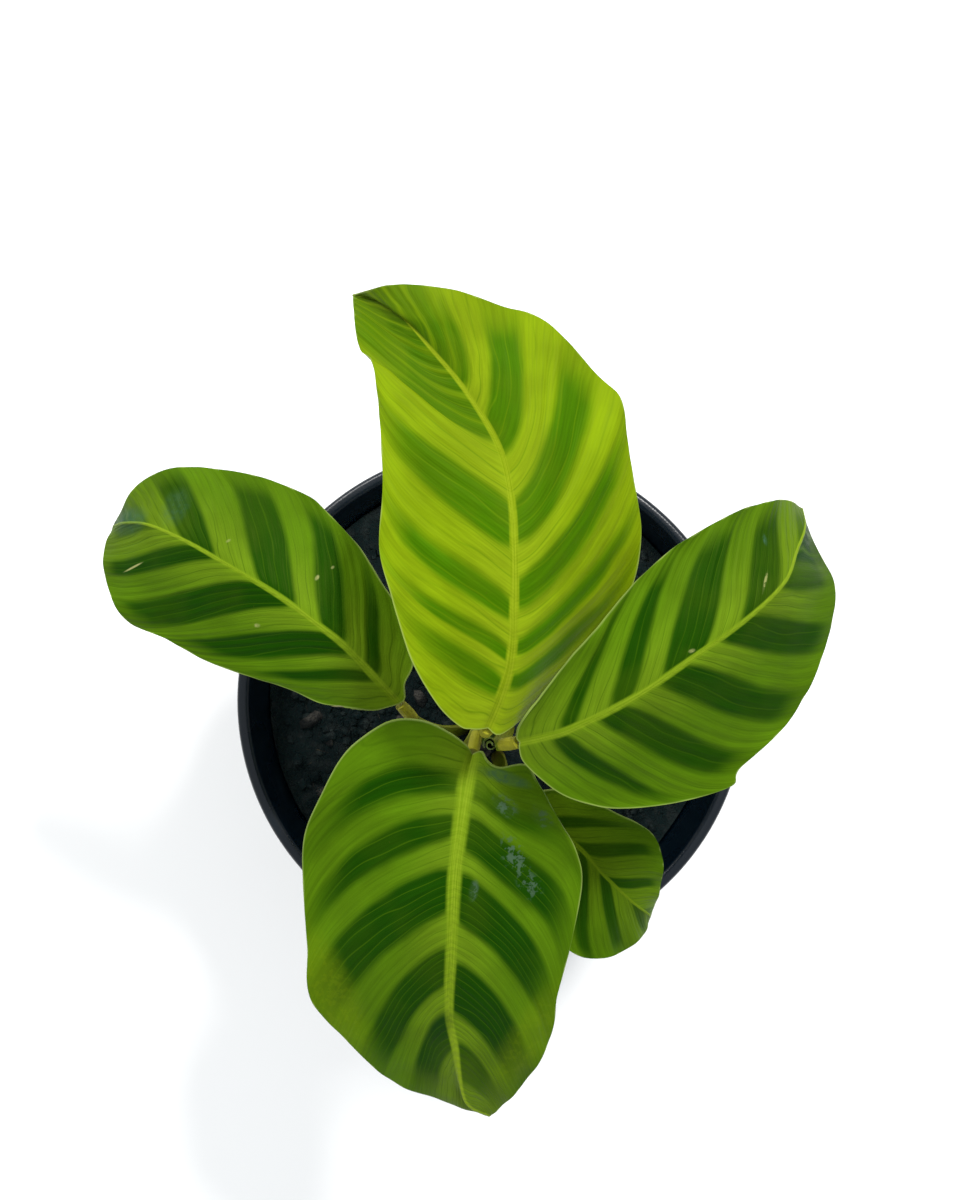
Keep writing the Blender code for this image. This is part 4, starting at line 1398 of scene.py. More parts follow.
@dataclass(frozen=True)
class PotFinish:
    """Black plastic with dust, faint rubbed marks round the wall and a soft shine."""

    plastic: tuple = (1, 12, 22)
    rubbed: tuple = (12, 28, 38)
    dust: tuple = (52, 54, 50)
    blotch_scale: float = 35.0
    grain_scale: float = 1100.0
    ring_scale: tuple = (18.0, 18.0, 420.0)
    rub_range: tuple = (0.3, 0.42)
    rub_strength: float = 0.4
    dust_range: tuple = (0.62, 0.8)
    dust_strength: float = 0.25
    rough: tuple = (0.24, 0.38)
    gloss: float = 0.36
    ring_relief: float = 0.4
    grain_relief: float = 0.5
    relief_depth: float = 0.12

    def make(self, effects: Effects) -> bpy.types.Material:
        """Return the finished material.

        Args:
            effects: the shared shader groups.

        Returns:
            The material.
        """
        material, graph, shader = new_material("pot_plastic")
        mottle = graph.group(effects.mottle, Coarse=self.blotch_scale, Fine=self.grain_scale)
        blotch = mottle.outputs["Blotch"]
        grain = mottle.outputs["Grain"]
        values = {"Vector": graph.place(), "Scale": self.ring_scale}
        stretched = graph.fed("ShaderNodeMapping", values).outputs[0]
        rings = graph.noise(stretched, 1.0, THREAD_DETAIL, THREAD_ROUGHNESS)
        scuff = graph.step(graph.product(rings, blotch), *self.rub_range)
        colour = graph.lay(linear(self.plastic), self.rubbed, scuff, self.rub_strength)
        settled = graph.step(grain, *self.dust_range)
        colour = graph.lay(colour, self.dust, settled, self.dust_strength)
        graph.feed(shader.inputs["Base Color"], colour)
        graph.feed(shader.inputs["Roughness"], graph.spread(blotch, *self.rough))
        shader.inputs["Specular IOR Level"].default_value = self.gloss
        relief = graph.weigh((rings, self.ring_relief), (grain, self.grain_relief))
        graph.feed(shader.inputs["Normal"], graph.bump(relief, self.relief_depth))
        return material


@dataclass(frozen=True)
class EarthFinish:
    """Loose bits of soil, from nearly black peat to grey brown bark."""

    name: str
    dark: tuple
    light: tuple
    light_range: tuple = (0.45, 0.7)
    blotch_scale: float = 190.0
    grain_scale: float = 1400.0
    shade: tuple = (0.6, 1.35)
    rough: tuple = (0.75, 0.95)
    gloss: float = 0.2
    relief_depth: float = 0.8

    def make(self, effects: Effects) -> bpy.types.Material:
        """Return the finished material.

        Args:
            effects: the shared shader groups.

        Returns:
            The material.
        """
        material, graph, shader = new_material(self.name)
        mottle = graph.group(effects.mottle, Coarse=self.blotch_scale, Fine=self.grain_scale)
        grain = mottle.outputs["Grain"]
        lighter = graph.step(mottle.outputs["Blotch"], *self.light_range)
        colour = graph.lay(linear(self.dark), self.light, lighter)
        colour = graph.tint(colour, graph.spread(grain, *self.shade))
        graph.feed(shader.inputs["Base Color"], colour)
        graph.feed(shader.inputs["Roughness"], graph.spread(grain, *self.rough))
        shader.inputs["Specular IOR Level"].default_value = self.gloss
        graph.feed(shader.inputs["Normal"], graph.bump(grain, self.relief_depth))
        return material


# Blades


@dataclass
class Blade:
    """One blade: a thin sheet along its side veins, with a raised midrib below."""

    shape: LeafShape
    pattern: LeafPattern
    slot: str
    rows: int = 190
    columns: int = 26
    half_thickness: float = 0.34
    edge_thinning: float = 0.6
    thinning_power: int = 12
    tip_share: float = 0.4
    groove_depth: float = 0.45
    groove_width: float = 1.5
    rib_width: float = 1.5
    rib_fading: float = 0.8
    vein_count: float = 34.0
    vein_relief: float = 0.07
    pleat_rise: float = 0.5
    unevenness: float = 0.35
    uneven_length: float = 23.0

    def margin(self, side: Side) -> SmoothLine:
        """Return the margin of one half, from the base of the midrib to the tip."""
        outline = self.shape.left if side is Side.LEFT else self.shape.right
        return SmoothLine((self.shape.midrib[0], *outline))

    def side_points(self, side: Side, shares: np.ndarray, columns: np.ndarray) -> np.ndarray:
        """Return the points of one half of the blade.

        Args:
            side: which half.
            shares: shares of the midrib where the veins leave it.
            columns: shares along each vein, from midrib to margin.

        Returns:
            Points by vein and column.
        """
        shape = self.shape
        fan = shape.fans[side.value]
        midrib = SmoothLine(shape.midrib)
        margin = self.margin(side)
        edge_shares = fan.margin_shares(shares)
        start = midrib.at(shares)
        end = margin.at(edge_shares)
        along = midrib.direction(shares)
        chord = end - start
        sideways = unit(chord - along * along_axis(chord, along))
        lean = np.radians(fan.lean - fan.close * shares)[:, None]
        edge = margin.direction(edge_shares)
        edge_lean = np.arctan2(along_axis(edge, sideways), along_axis(edge, along))
        end_lean = np.maximum(math.radians(VEIN_END_ANGLE),
                              edge_lean + math.radians(VEIN_EDGE_ANGLE))
        reach = np.linalg.norm(chord, axis=1, keepdims=True) * VEIN_REACH
        near = start + (along * np.cos(lean) + sideways * np.sin(lean)) * reach
        far = end - (along * np.cos(end_lean) + sideways * np.sin(end_lean)) * reach
        lift = shape.arch * np.sin(math.pi * np.minimum(shares + ARCH_LEAD, 1.0))
        near[:, 2] += lift
        far[:, 2] += lift
        handles = [handle[:, None] for handle in (start, near, far, end)]
        points = bezier(handles, columns[None, :, None])
        to_edge = margin.at(fan.first * columns) - points[0]
        points = points + ((1 - shares) ** BASE_FADE)[:, None, None] * to_edge[None]
        wave = MARGIN_WAVE * np.sin(math.pi * shares) * np.sin(MARGIN_WAVES * math.tau * shares)
        points[..., 2] += wave[:, None] * columns[None] ** 3
        return points

    def middle_sheet(self) -> tuple:
        """Return the middle surface and its marks.

        Returns:
            Points by row and column, then the marks by name in the same layout.
        """
        shares = (np.arange(self.rows) / self.rows) ** ROW_EASE
        columns = np.linspace(0.0, 1.0, self.columns + 1) ** COLUMN_EASE
        left = self.side_points(Side.LEFT, shares, columns)
        right = self.side_points(Side.RIGHT, shares, columns)
        points = np.concatenate((left[:, :0:-1], right), axis=1)
        reach = np.concatenate((-columns[:0:-1], columns))
        rib_mm = distance_to_line(points, SmoothLine(self.shape.midrib).line)
        edge_mm = np.minimum(distance_to_line(points, self.margin(Side.LEFT).line),
                             distance_to_line(points, self.margin(Side.RIGHT).line))
        marks = {
            "vein": np.broadcast_to(shares[:, None], points.shape[:2]),
            "reach": np.broadcast_to(reach, points.shape[:2]),
            "rib_mm": rib_mm,
            "edge_mm": edge_mm,
        }
        return points, marks

    def faces(self) -> list:
        """Return the faces over the points of both sides, with the tip closed.

        Returns:
            Lists of point numbers.
        """
        width = 2 * self.columns + 1
        count = self.rows * width
        under = count + 1
        rows, columns = np.meshgrid(np.arange(self.rows - 1), np.arange(width - 1), indexing="ij")
        corner = (rows * width + columns).ravel()
        top = np.stack((corner, corner + 1, corner + width + 1, corner + width), axis=1)
        faces = top.tolist() + (top[:, ::-1] + under).tolist()
        last = (self.rows - 1) * width
        for j in range(width - 1):
            faces.append([last + j, last + j + 1, count])
            faces.append([under + count, under + last + j + 1, under + last + j])
        border = list(range(width))
        border += [i * width + width - 1 for i in range(1, self.rows)]
        border += [count]
        border += [i * width for i in range(self.rows - 1, 0, -1)]
        for a, b in zip(border, [*border[1:], border[0]]):
            faces.append([a, a + under, b + under, b])
        return faces

    def build(self) -> bpy.types.Object:
        """Return the blade as a mesh object, without its materials.

        Returns:
            The object, in the scene.
        """
        points, marks = self.middle_sheet()
        along = np.gradient(points, axis=0)
        across = np.gradient(points, axis=1)
        normals = unit(np.cross(across, along))
        turned = normals[..., 2].mean() < 0
        normals = -normals if turned else normals
        reach = np.abs(marks["reach"])
        turns = marks["vein"] * self.vein_count * math.tau
        swell = np.sin(math.pi * np.clip(reach, 0, 1)) ** self.pleat_rise
        pleat = self.vein_relief * np.cos(turns) * swell
        seed = len(self.shape.place)
        uneven = self.unevenness * ripples(points, self.uneven_length, seed) * reach
        body = (pleat + uneven)[..., None] * normals
        thinning = 1 - self.edge_thinning * reach ** self.thinning_power
        taper = thinning[..., None] * self.half_thickness
        fading = (1 - marks["vein"]) ** self.rib_fading
        groove = self.groove_depth * np.exp(-((marks["rib_mm"] / self.groove_width) ** 2)) * fading
        rib = RIB_DEPTH * np.exp(-((marks["rib_mm"] / self.rib_width) ** 2)) * fading
        top = points + body + normals * (taper - groove[..., None])
        bottom = points + body - normals * (taper + rib[..., None])
        tip = np.array(self.shape.midrib[-1], dtype=float)
        tip_gap = UP * (self.half_thickness * self.tip_share)
        vertices = np.vstack((top.reshape(-1, 3), tip + tip_gap,
                              bottom.reshape(-1, 3), tip - tip_gap))
        vertices = np.clip(vertices, *(np.array(CAD_BOX) / MM))
        tip_marks = {"vein": 1.0, "reach": 0.0, "rib_mm": 0.0, "edge_mm": 0.0}
        all_marks = {}
        for name, values in marks.items():
            one_face = np.append(values.ravel(), tip_marks[name])
            all_marks[name] = np.concatenate((one_face, one_face))
        faces = self.faces()
        if turned:
            faces = [face[::-1] for face in faces]
        return mesh_object(f"leaf_{self.shape.place}", vertices, faces, all_marks)

    def mark_underside(self, piece: bpy.types.Object) -> None:
        """Give the faces of the underside the second material.

        Args:
            piece: the blade's object.
        """
        under = self.rows * (2 * self.columns + 1) + 1
        for polygon in piece.data.polygons:
            if min(polygon.vertices) >= under:
                polygon.material_index = 1

    def make(self, effects: Effects) -> bpy.types.Object:
        """Build and dress the blade and tie it to the frame.

        Args:
            effects: the shared shader groups.

        Returns:
            The finished piece.
        """
        place = self.shape.place
        materials = [BladeFinish(self.pattern, place).make(effects),
                     UndersideFinish(place, self.pattern.flush).make(effects)]
        piece = settle(self.build(), materials, self.slot, f"blade_{place}")
        self.mark_underside(piece)
        return piece


# Stalks


@dataclass
class Stalk:
    """One winged stalk with its channel, its foot in the soil and its thick joint.

    Pairs named wing_edge, channel_shades and joint_blend are where a mark starts and is full.
    joint_bulge is the part of a half wave that swells the joint, as start and length, and
    joint_rings is the size of its fine rings and their number.
    """

    shape: LeafShape
    sides: int = 40
    steps: int = 70
    joint_steps: int = 26
    foot_radius: float = 2.9
    ground_rise: float = 3.0
    upright_share: float = 0.5
    wing_half_width: float = 3.6
    wing_rise: float = 1.6
    wing_edge: tuple = (0.95, 0.995)
    channel_depth: float = 1.3
    channel_rise: float = 0.7
    channel_shades: tuple = (0.25, 0.7)
    neck_radius: float = 1.8
    neck_bend: float = 8.0
    joint_radius: float = 2.15
    joint_drop: float = 1.7
    joint_gaps: float = 1.6
    joint_bulge: tuple = (0.12, 0.76)
    joint_rings: tuple = (0.02, 60.0)
    joint_blend: tuple = (-0.05, 0.08)
    wrinkle: float = 0.05
    wrinkle_count: float = 9.0

    def outward(self) -> np.ndarray:
        """Return the direction in which the blade leaves the stalk."""
        return SmoothLine(self.shape.midrib).direction(np.array((HEADING_SHARE,)))[0]

    def joint_ends(self) -> tuple:
        """Return the joint's lower end, upper end and heading.

        Returns:
            Two places in millimetres and a unit direction.
        """
        level = self.outward()
        level[2] = 0.0
        pitch = math.radians(self.shape.pulvinus_pitch)
        heading = unit(level) * math.cos(pitch) + UP * math.sin(pitch)
        base = np.array(self.shape.midrib[0], dtype=float)
        upper = base - heading * FIT_GAP * self.joint_gaps - UP * self.joint_drop
        return upper - heading * self.shape.pulvinus_length, upper, heading

    def path(self) -> tuple:
        """Return the stalk's course.

        Returns:
            Centres, then half widths, half depths and channel depths, then how much each centre
            is part of the joint.
        """
        lower, upper, heading = self.joint_ends()
        foot = np.array((*self.shape.foot, SOIL_LEVEL - HOLE_DEPTH + FIT_GAP))
        ground = np.array((*self.shape.foot, SOIL_LEVEL + self.ground_rise))
        height = lower[2] - ground[2]
        handles = (ground, ground + UP * height * self.upright_share,
                   lower - heading * self.neck_bend, lower)
        t = np.arange(self.steps) / self.steps
        body = bezier(handles, t[:, None])
        plain = self.foot_radius + (self.neck_radius - self.foot_radius) * t
        wing = np.sin(math.pi * np.minimum(t * self.wing_rise, 1.0)) ** 2
        half_width = plain + (self.wing_half_width - self.foot_radius) * wing
        channel = plain * self.channel_depth * np.sin(math.pi * t) ** self.channel_rise
        s = np.linspace(0.0, 1.0, self.joint_steps)
        joint = lower + (upper - lower) * s[:, None]
        start, length = self.joint_bulge
        bulge = np.sin(math.pi * (start + length * s))
        radius = self.neck_radius + (self.joint_radius - self.neck_radius) * bulge
        ring_size, ring_count = self.joint_rings
        radius = radius * (1 + ring_size * np.sin(s * ring_count))
        centres = np.vstack((foot, body, joint))
        joint_share = np.concatenate((np.zeros(self.steps + 1), smooth_step(s, *self.joint_blend)))
        radii = (
            np.concatenate(((self.foot_radius,), half_width, radius)),
            np.concatenate(((self.foot_radius,), plain, radius)),
            np.concatenate(((0.0,), channel, np.zeros_like(s))),
        )
        return centres, radii, joint_share

    def build(self) -> bpy.types.Object:
        """Return the stalk as a mesh object, without its material.

        Returns:
            The object, in the scene.
        """
        centres, (half_width, half_depth, channel), joint_share = self.path()
        headings = unit(np.gradient(centres, axis=0))
        headings[:2] = UP
        outward = self.outward()
        inner_side = np.array((-outward[0], -outward[1], 1.0))
        high = unit(inner_side - headings * along_axis(headings, inner_side[None]))
        side = np.cross(headings, high)
        angle = np.arange(self.sides) * math.tau / self.sides
        sine = np.sin(angle)
        cosine = np.cos(angle)
        across = half_width[:, None] * sine
        depth = half_depth[:, None] * cosine - channel[:, None] * np.maximum(cosine, 0.0) ** 2
        wrinkles = self.wrinkle * np.sin(angle * self.wrinkle_count)
        depth = depth + wrinkles * (half_depth[:, None] / self.foot_radius)
        points = (centres[:, None] + side[:, None] * across[..., None]
                  + high[:, None] * depth[..., None])
        count = len(centres)
        faces = [list(range(self.sides - 1, -1, -1)),
                 list(range((count - 1) * self.sides, count * self.sides))]
        faces += tube_faces(count, self.sides)
        if np.cross(side[0], high[0])[2] > 0:
            faces = [face[::-1] for face in faces]
        wing = np.outer(smooth_step(channel / self.foot_radius, *self.channel_shades),
                        smooth_step(np.abs(sine), *self.wing_edge))
        marks = {
            "height": np.repeat(np.linspace(0.0, 1.0, count), self.sides),
            "around": np.tile(np.abs(angle / math.pi - 1), count),
            "inner": np.tile(cosine, count),
            "wing": wing.ravel(),
            "joint": np.repeat(joint_share, self.sides),
        }
        return mesh_object(f"leaf_stalk_{self.shape.place}", points.reshape(-1, 3), faces, marks)

    def make(self, material: bpy.types.Material) -> bpy.types.Object:
        """Build the stalk, give it its finish and tie it to the frame."""
        return settle(self.build(), [material], "stalk", f"stalk_{self.shape.place}")


# Centre of the plant


@dataclass
class RolledLeaf:
    """The young leaf that is still rolled up, wound as a spiral and higher at its heart.

    widths are shares of the height and the scale of the roll there. upper_edge and free_edge are
    where the pale edge starts and is full, and ripple is its size and number of waves.
    """

    foot: tuple = (-1.2, -15.8, SOIL_LEVEL - HOLE_DEPTH + FIT_GAP)
    top: tuple = (-0.6, -14.8, 186.0)
    inner_radius: float = 0.9
    pitch: float = 1.3
    turns: float = 1.6
    half_thickness: float = 0.33
    point: float = 9.0
    ripple: tuple = (0.5, 23.0)
    widths: tuple = ((0.0, 0.3, 0.55, 0.8, 1.0), (0.86, 0.86, 1.0, 1.0, 0.9))
    upper_edge: tuple = (0.955, 0.995)
    free_edge: tuple = (0.93, 0.99)
    steps: int = 110
    levels: int = 60

    def build(self) -> bpy.types.Object:
        """Return the roll as a mesh object, without its material.

        Returns:
            The object, in the scene.
        """
        foot = np.array(self.foot)
        share = np.linspace(0.0, 1.0, self.levels)
        scale = np.interp(share, *self.widths)
        base = foot + (np.array(self.top) - foot) * share[:, None]
        wind = np.linspace(0.0, 1.0, self.steps)
        angle = wind * self.turns * math.tau
        radius = self.inner_radius + self.pitch * self.turns * wind
        direction = np.stack((np.cos(angle), np.sin(angle), np.zeros_like(angle)), axis=1)
        rise = self.point * share[:, None] ** 3 * (1 - wind)[None]
        size, waves = self.ripple
        rise = rise + size * share[:, None] ** 8 * np.sin(wind * waves)[None]
        layers = []
        for half in (self.half_thickness, -self.half_thickness):
            spread = direction[None] * (radius + half)[None, :, None] * scale[:, None, None]
            layer = base[:, None] + spread
            layer[..., 2] += rise
            layers.append(layer)
        outer, inner = layers
        ring = np.concatenate((outer, inner[:, ::-1]), axis=1)
        width = ring.shape[1]
        faces = tube_faces(self.levels, width) + strip_ends(self.levels, width)
        winding = np.concatenate((wind, wind[::-1]))
        edge = np.maximum(smooth_step(share, *self.upper_edge)[:, None],
                          smooth_step(winding, *self.free_edge)[None])
        marks = {
            "height": np.repeat(share, width),
            "around": np.tile(winding, self.levels),
            "edge": edge.ravel(),
        }
        return mesh_object("rolled_leaf", ring.reshape(-1, 3), faces, marks)

    def make(self, effects: Effects) -> bpy.types.Object:
        """Build and dress the roll and tie it to the frame."""
        finish = RolledLeafFinish().make(effects)
        return settle(self.build(), [finish], "rolled_leaf", "rolled_young_leaf")


@dataclass
class DriedSheath:
    """A torn, curled scrap of an old leaf's sheath, standing by the stalks.

    widening and curling are the shares of the height between which the scrap gets broad and
    curls. Each of teeth is a wave of the torn top: size, number and shift. ripple is the size
    of the face's waves and their number across and up.
    """

    foot: tuple = (-6.3, -10.6)
    bottom: float = SOIL_LEVEL - 13.0 + FIT_GAP
    top: float = 165.0
    half_width: float = 2.3
    foot_half_width: float = 0.7
    top_narrowing: float = 0.25
    half_thickness: float = 0.28
    widening: tuple = (0.3, 0.52)
    curl: float = 0.7
    curl_middle: float = 0.4
    curling: tuple = (0.35, 0.6)
    tear_depth: float = 0.32
    tear_place: float = 0.2
    teeth: tuple = ((0.06, 9.0, 0.0), (0.05, 21.0, 1.0))
    ripple: tuple = (0.12, 12.0, 5.0)
    columns: int = 18
    levels: int = 60

    def build(self) -> bpy.types.Object:
        """Return the scrap as a mesh object, without its material.

        Returns:
            The object, in the scene.
        """
        share = np.linspace(0.0, 1.0, self.levels)[:, None]
        across = np.linspace(-1.0, 1.0, self.columns)[None]
        broad = smooth_step(share, *self.widening)
        width = self.half_width * broad + self.foot_half_width * (1 - broad)
        ragged = sum(size * np.sin(across * count + shift) for size, count, shift in self.teeth)
        tear = self.tear_depth * np.abs(across + self.tear_place)
        reach = 1.0 - (tear + ragged) * share ** 2
        height = self.bottom + (self.top - self.bottom) * share * reach
        taper = width * (1 - self.top_narrowing * share ** 3)
        bow = self.curl * (across ** 2 - self.curl_middle) * smooth_step(share, *self.curling)
        size, waves_across, waves_up = self.ripple
        layers = []
        for half in (self.half_thickness, -self.half_thickness):
            wave = size * np.sin(across * waves_across + share * waves_up)
            x = self.foot[0] + bow + half + wave
            y = self.foot[1] + taper * across
            layers.append(np.stack((x, y, height), axis=-1))
        front, back = layers
        ring = np.concatenate((front, back[:, ::-1]), axis=1)
        count = ring.shape[1]
        faces = tube_faces(self.levels, count) + strip_ends(self.levels, count)
        around = np.concatenate((across[0], across[0][::-1]))
        marks = {
            "height": np.repeat(share[:, 0], count),
            "around": np.tile(around, self.levels),
        }
        return mesh_object("dry_sheath_scrap", ring.reshape(-1, 3), faces, marks)

    def make(self, effects: Effects) -> bpy.types.Object:
        """Build and dress the scrap and tie it to the frame."""
        finish = DryFinish().make(effects)
        return settle(self.build(), [finish], "dried_sheath", "dried_sheath")


# Pot and soil


@dataclass
class Pot:
    """The nursery pot: a thin tapered wall, a rounded rim, a hanging collar and drain holes."""

    height: float = 160.0
    rim_radius: float = 100.0
    rim_width: float = 5.0
    rim_rounding: float = 2.0
    base_radius: float = 72.0
    shoulder_radius: float = 95.7
    shoulder_height: float = 156.5
    wall: float = 1.8
    floor: float = 2.4
    base_rounding: float = 1.5
    collar_depth: float = 14.0
    collar_wall: float = 1.7
    collar_taper: float = 0.3
    rim_undercut: float = 1.0
    drain_holes: int = 8
    drain_radius: float = 5.0
    drain_circle: float = 56.0
    segments: int = 288
    arc_steps: int = 8
    hole_sides: int = 40
    plug_floors: float = 4.0
    sharp_angle: float = 35.0

    def wall_radius(self, height: float) -> float:
        """Return the wall's outer radius at a height."""
        flare = self.shoulder_radius - self.base_radius
        return self.base_radius + flare * height / self.shoulder_height

    def arc(self, radius: float, height: float, rounding: float, start: float) -> list:
        """Return a quarter circle of the profile.

        Args:
            radius: the arc's middle, out from the pot's axis.
            height: the arc's middle above the ground.
            rounding: the arc's own radius.
            start: where it starts, in degrees.

        Returns:
            Points as radius and height.
        """
        turns = np.radians(start + np.linspace(0.0, 90.0, self.arc_steps + 1))
        return [(radius + rounding * math.cos(turn), height + rounding * math.sin(turn))
                for turn in turns]

    def profile(self) -> np.ndarray:
        """Return the pot's profile, from the edge of its underside to that of its inner floor.

        Returns:
            Points as radius and height, in millimetres.
        """
        rim = self.rim_rounding
        under_rim = self.height - 2 * rim
        wall_top = under_rim - self.rim_undercut
        collar_inner = self.rim_radius - self.collar_wall
        collar_bottom = self.height - self.collar_depth
        foot = self.base_rounding
        points = self.arc(self.base_radius - foot, foot, foot, -90.0)
        points += [(self.wall_radius(wall_top), wall_top), (collar_inner, wall_top),
                   (collar_inner, collar_bottom),
                   (self.rim_radius - self.collar_taper, collar_bottom)]
        points += self.arc(self.rim_radius - rim, self.height - rim, rim, 0.0)
        points += self.arc(self.rim_radius - self.rim_width + rim, self.height - rim, rim, 90.0)
        points += [(self.wall_radius(under_rim) - self.wall, wall_top),
                   (self.wall_radius(self.floor) - self.wall, self.floor)]
        return np.array(points)

    def shell(self) -> bpy.types.Object:
        """Return the pot without its drain holes.

        Returns:
            The object, in the scene.
        """
        profile = self.profile()
        angle = np.arange(self.segments) * math.tau / self.segments
        rings = np.stack((profile[:, :1] * np.cos(angle), profile[:, :1] * np.sin(angle),
                          profile[:, 1:] + 0 * angle), axis=-1)
        vertices = np.vstack((rings.reshape(-1, 3), (0.0, 0.0, 0.0), (0.0, 0.0, self.floor)))
        outer_middle = len(vertices) - 2
        last = (len(profile) - 1) * self.segments
        faces = []
        for i in range(self.segments):
            j = (i + 1) % self.segments
            faces.append([outer_middle, j, i])
            faces.append([outer_middle + 1, last + i, last + j])
            for low in range(0, last, self.segments):
                high = low + self.segments
                faces.append([low + i, low + j, high + j, high + i])
        return mesh_object("nursery_pot", vertices, faces, {})

    def drains(self) -> bpy.types.Object:
        """Return the plugs that cut the drain holes.

        Returns:
            The plugs as one object.
        """
        bm = bmesh.new()
        for k in range(self.drain_holes):
            turn = (k + 0.5) * math.tau / self.drain_holes
            place = Vector((math.cos(turn), math.sin(turn), 0.0)) * self.drain_circle * MM
            bmesh.ops.create_cone(bm, cap_ends=True, segments=self.hole_sides,
                                  radius1=self.drain_radius * MM, radius2=self.drain_radius * MM,
                                  depth=self.floor * self.plug_floors * MM,
                                  matrix=Matrix.Translation(place))
        mesh = bpy.data.meshes.new("drain_plugs")
        bm.to_mesh(mesh)
        bm.free()
        plugs = bpy.data.objects.new("drain_plugs", mesh)
        bpy.context.collection.objects.link(plugs)
        return plugs

    def make(self, effects: Effects) -> bpy.types.Object:
        """Build and dress the pot and tie it to the frame.

        Args:
            effects: the shared shader groups.

        Returns:
            The finished piece.
        """
        piece = self.shell()
        plugs = self.drains()
        cut = piece.modifiers.new("drain_holes", "BOOLEAN")
        cut.operation = "DIFFERENCE"
        cut.solver = "EXACT"
        cut.object = plugs
        state = bpy.context.evaluated_depsgraph_get()
        holed = bpy.data.meshes.new_from_object(piece.evaluated_get(state))
        piece.modifiers.clear()
        piece.data = holed
        bpy.data.objects.remove(plugs)
        holed.shade_smooth()
        holed.set_sharp_from_angle(angle=math.radians(self.sharp_angle))
        holed.materials.clear()
        return settle(piece, [PotFinish().make(effects)], "pot", "pot")


@dataclass(frozen=True)
class LooseBits:
    """One kind of loose bits on the soil.

    sizes are the smallest and largest half size in millimetres. flatness is the least and most
    height against width, and stretch the least and most length against width.
    """

    grain: Grain
    count: int
    sizes: tuple
    flatness: tuple
    stretch: tuple
    finish: EarthFinish


LOOSE_BITS = (
    LooseBits(Grain.CRUMB, 2600, (0.5, 2.4), (0.5, 0.95), (0.9, 1.6),
              EarthFinish("soil_crumb", (3, 22, 23), (40, 48, 47))),
    LooseBits(Grain.BARK, 90, (1.6, 4.4), (0.28, 0.55), (1.0, 2.2),
              EarthFinish("bark", (20, 24, 24), (66, 64, 60))),
    LooseBits(Grain.FIBRE, 260, (0.16, 0.34), (0.8, 1.0), (7.0, 18.0),
              EarthFinish("fibre", (30, 32, 30), (76, 70, 58))),
)


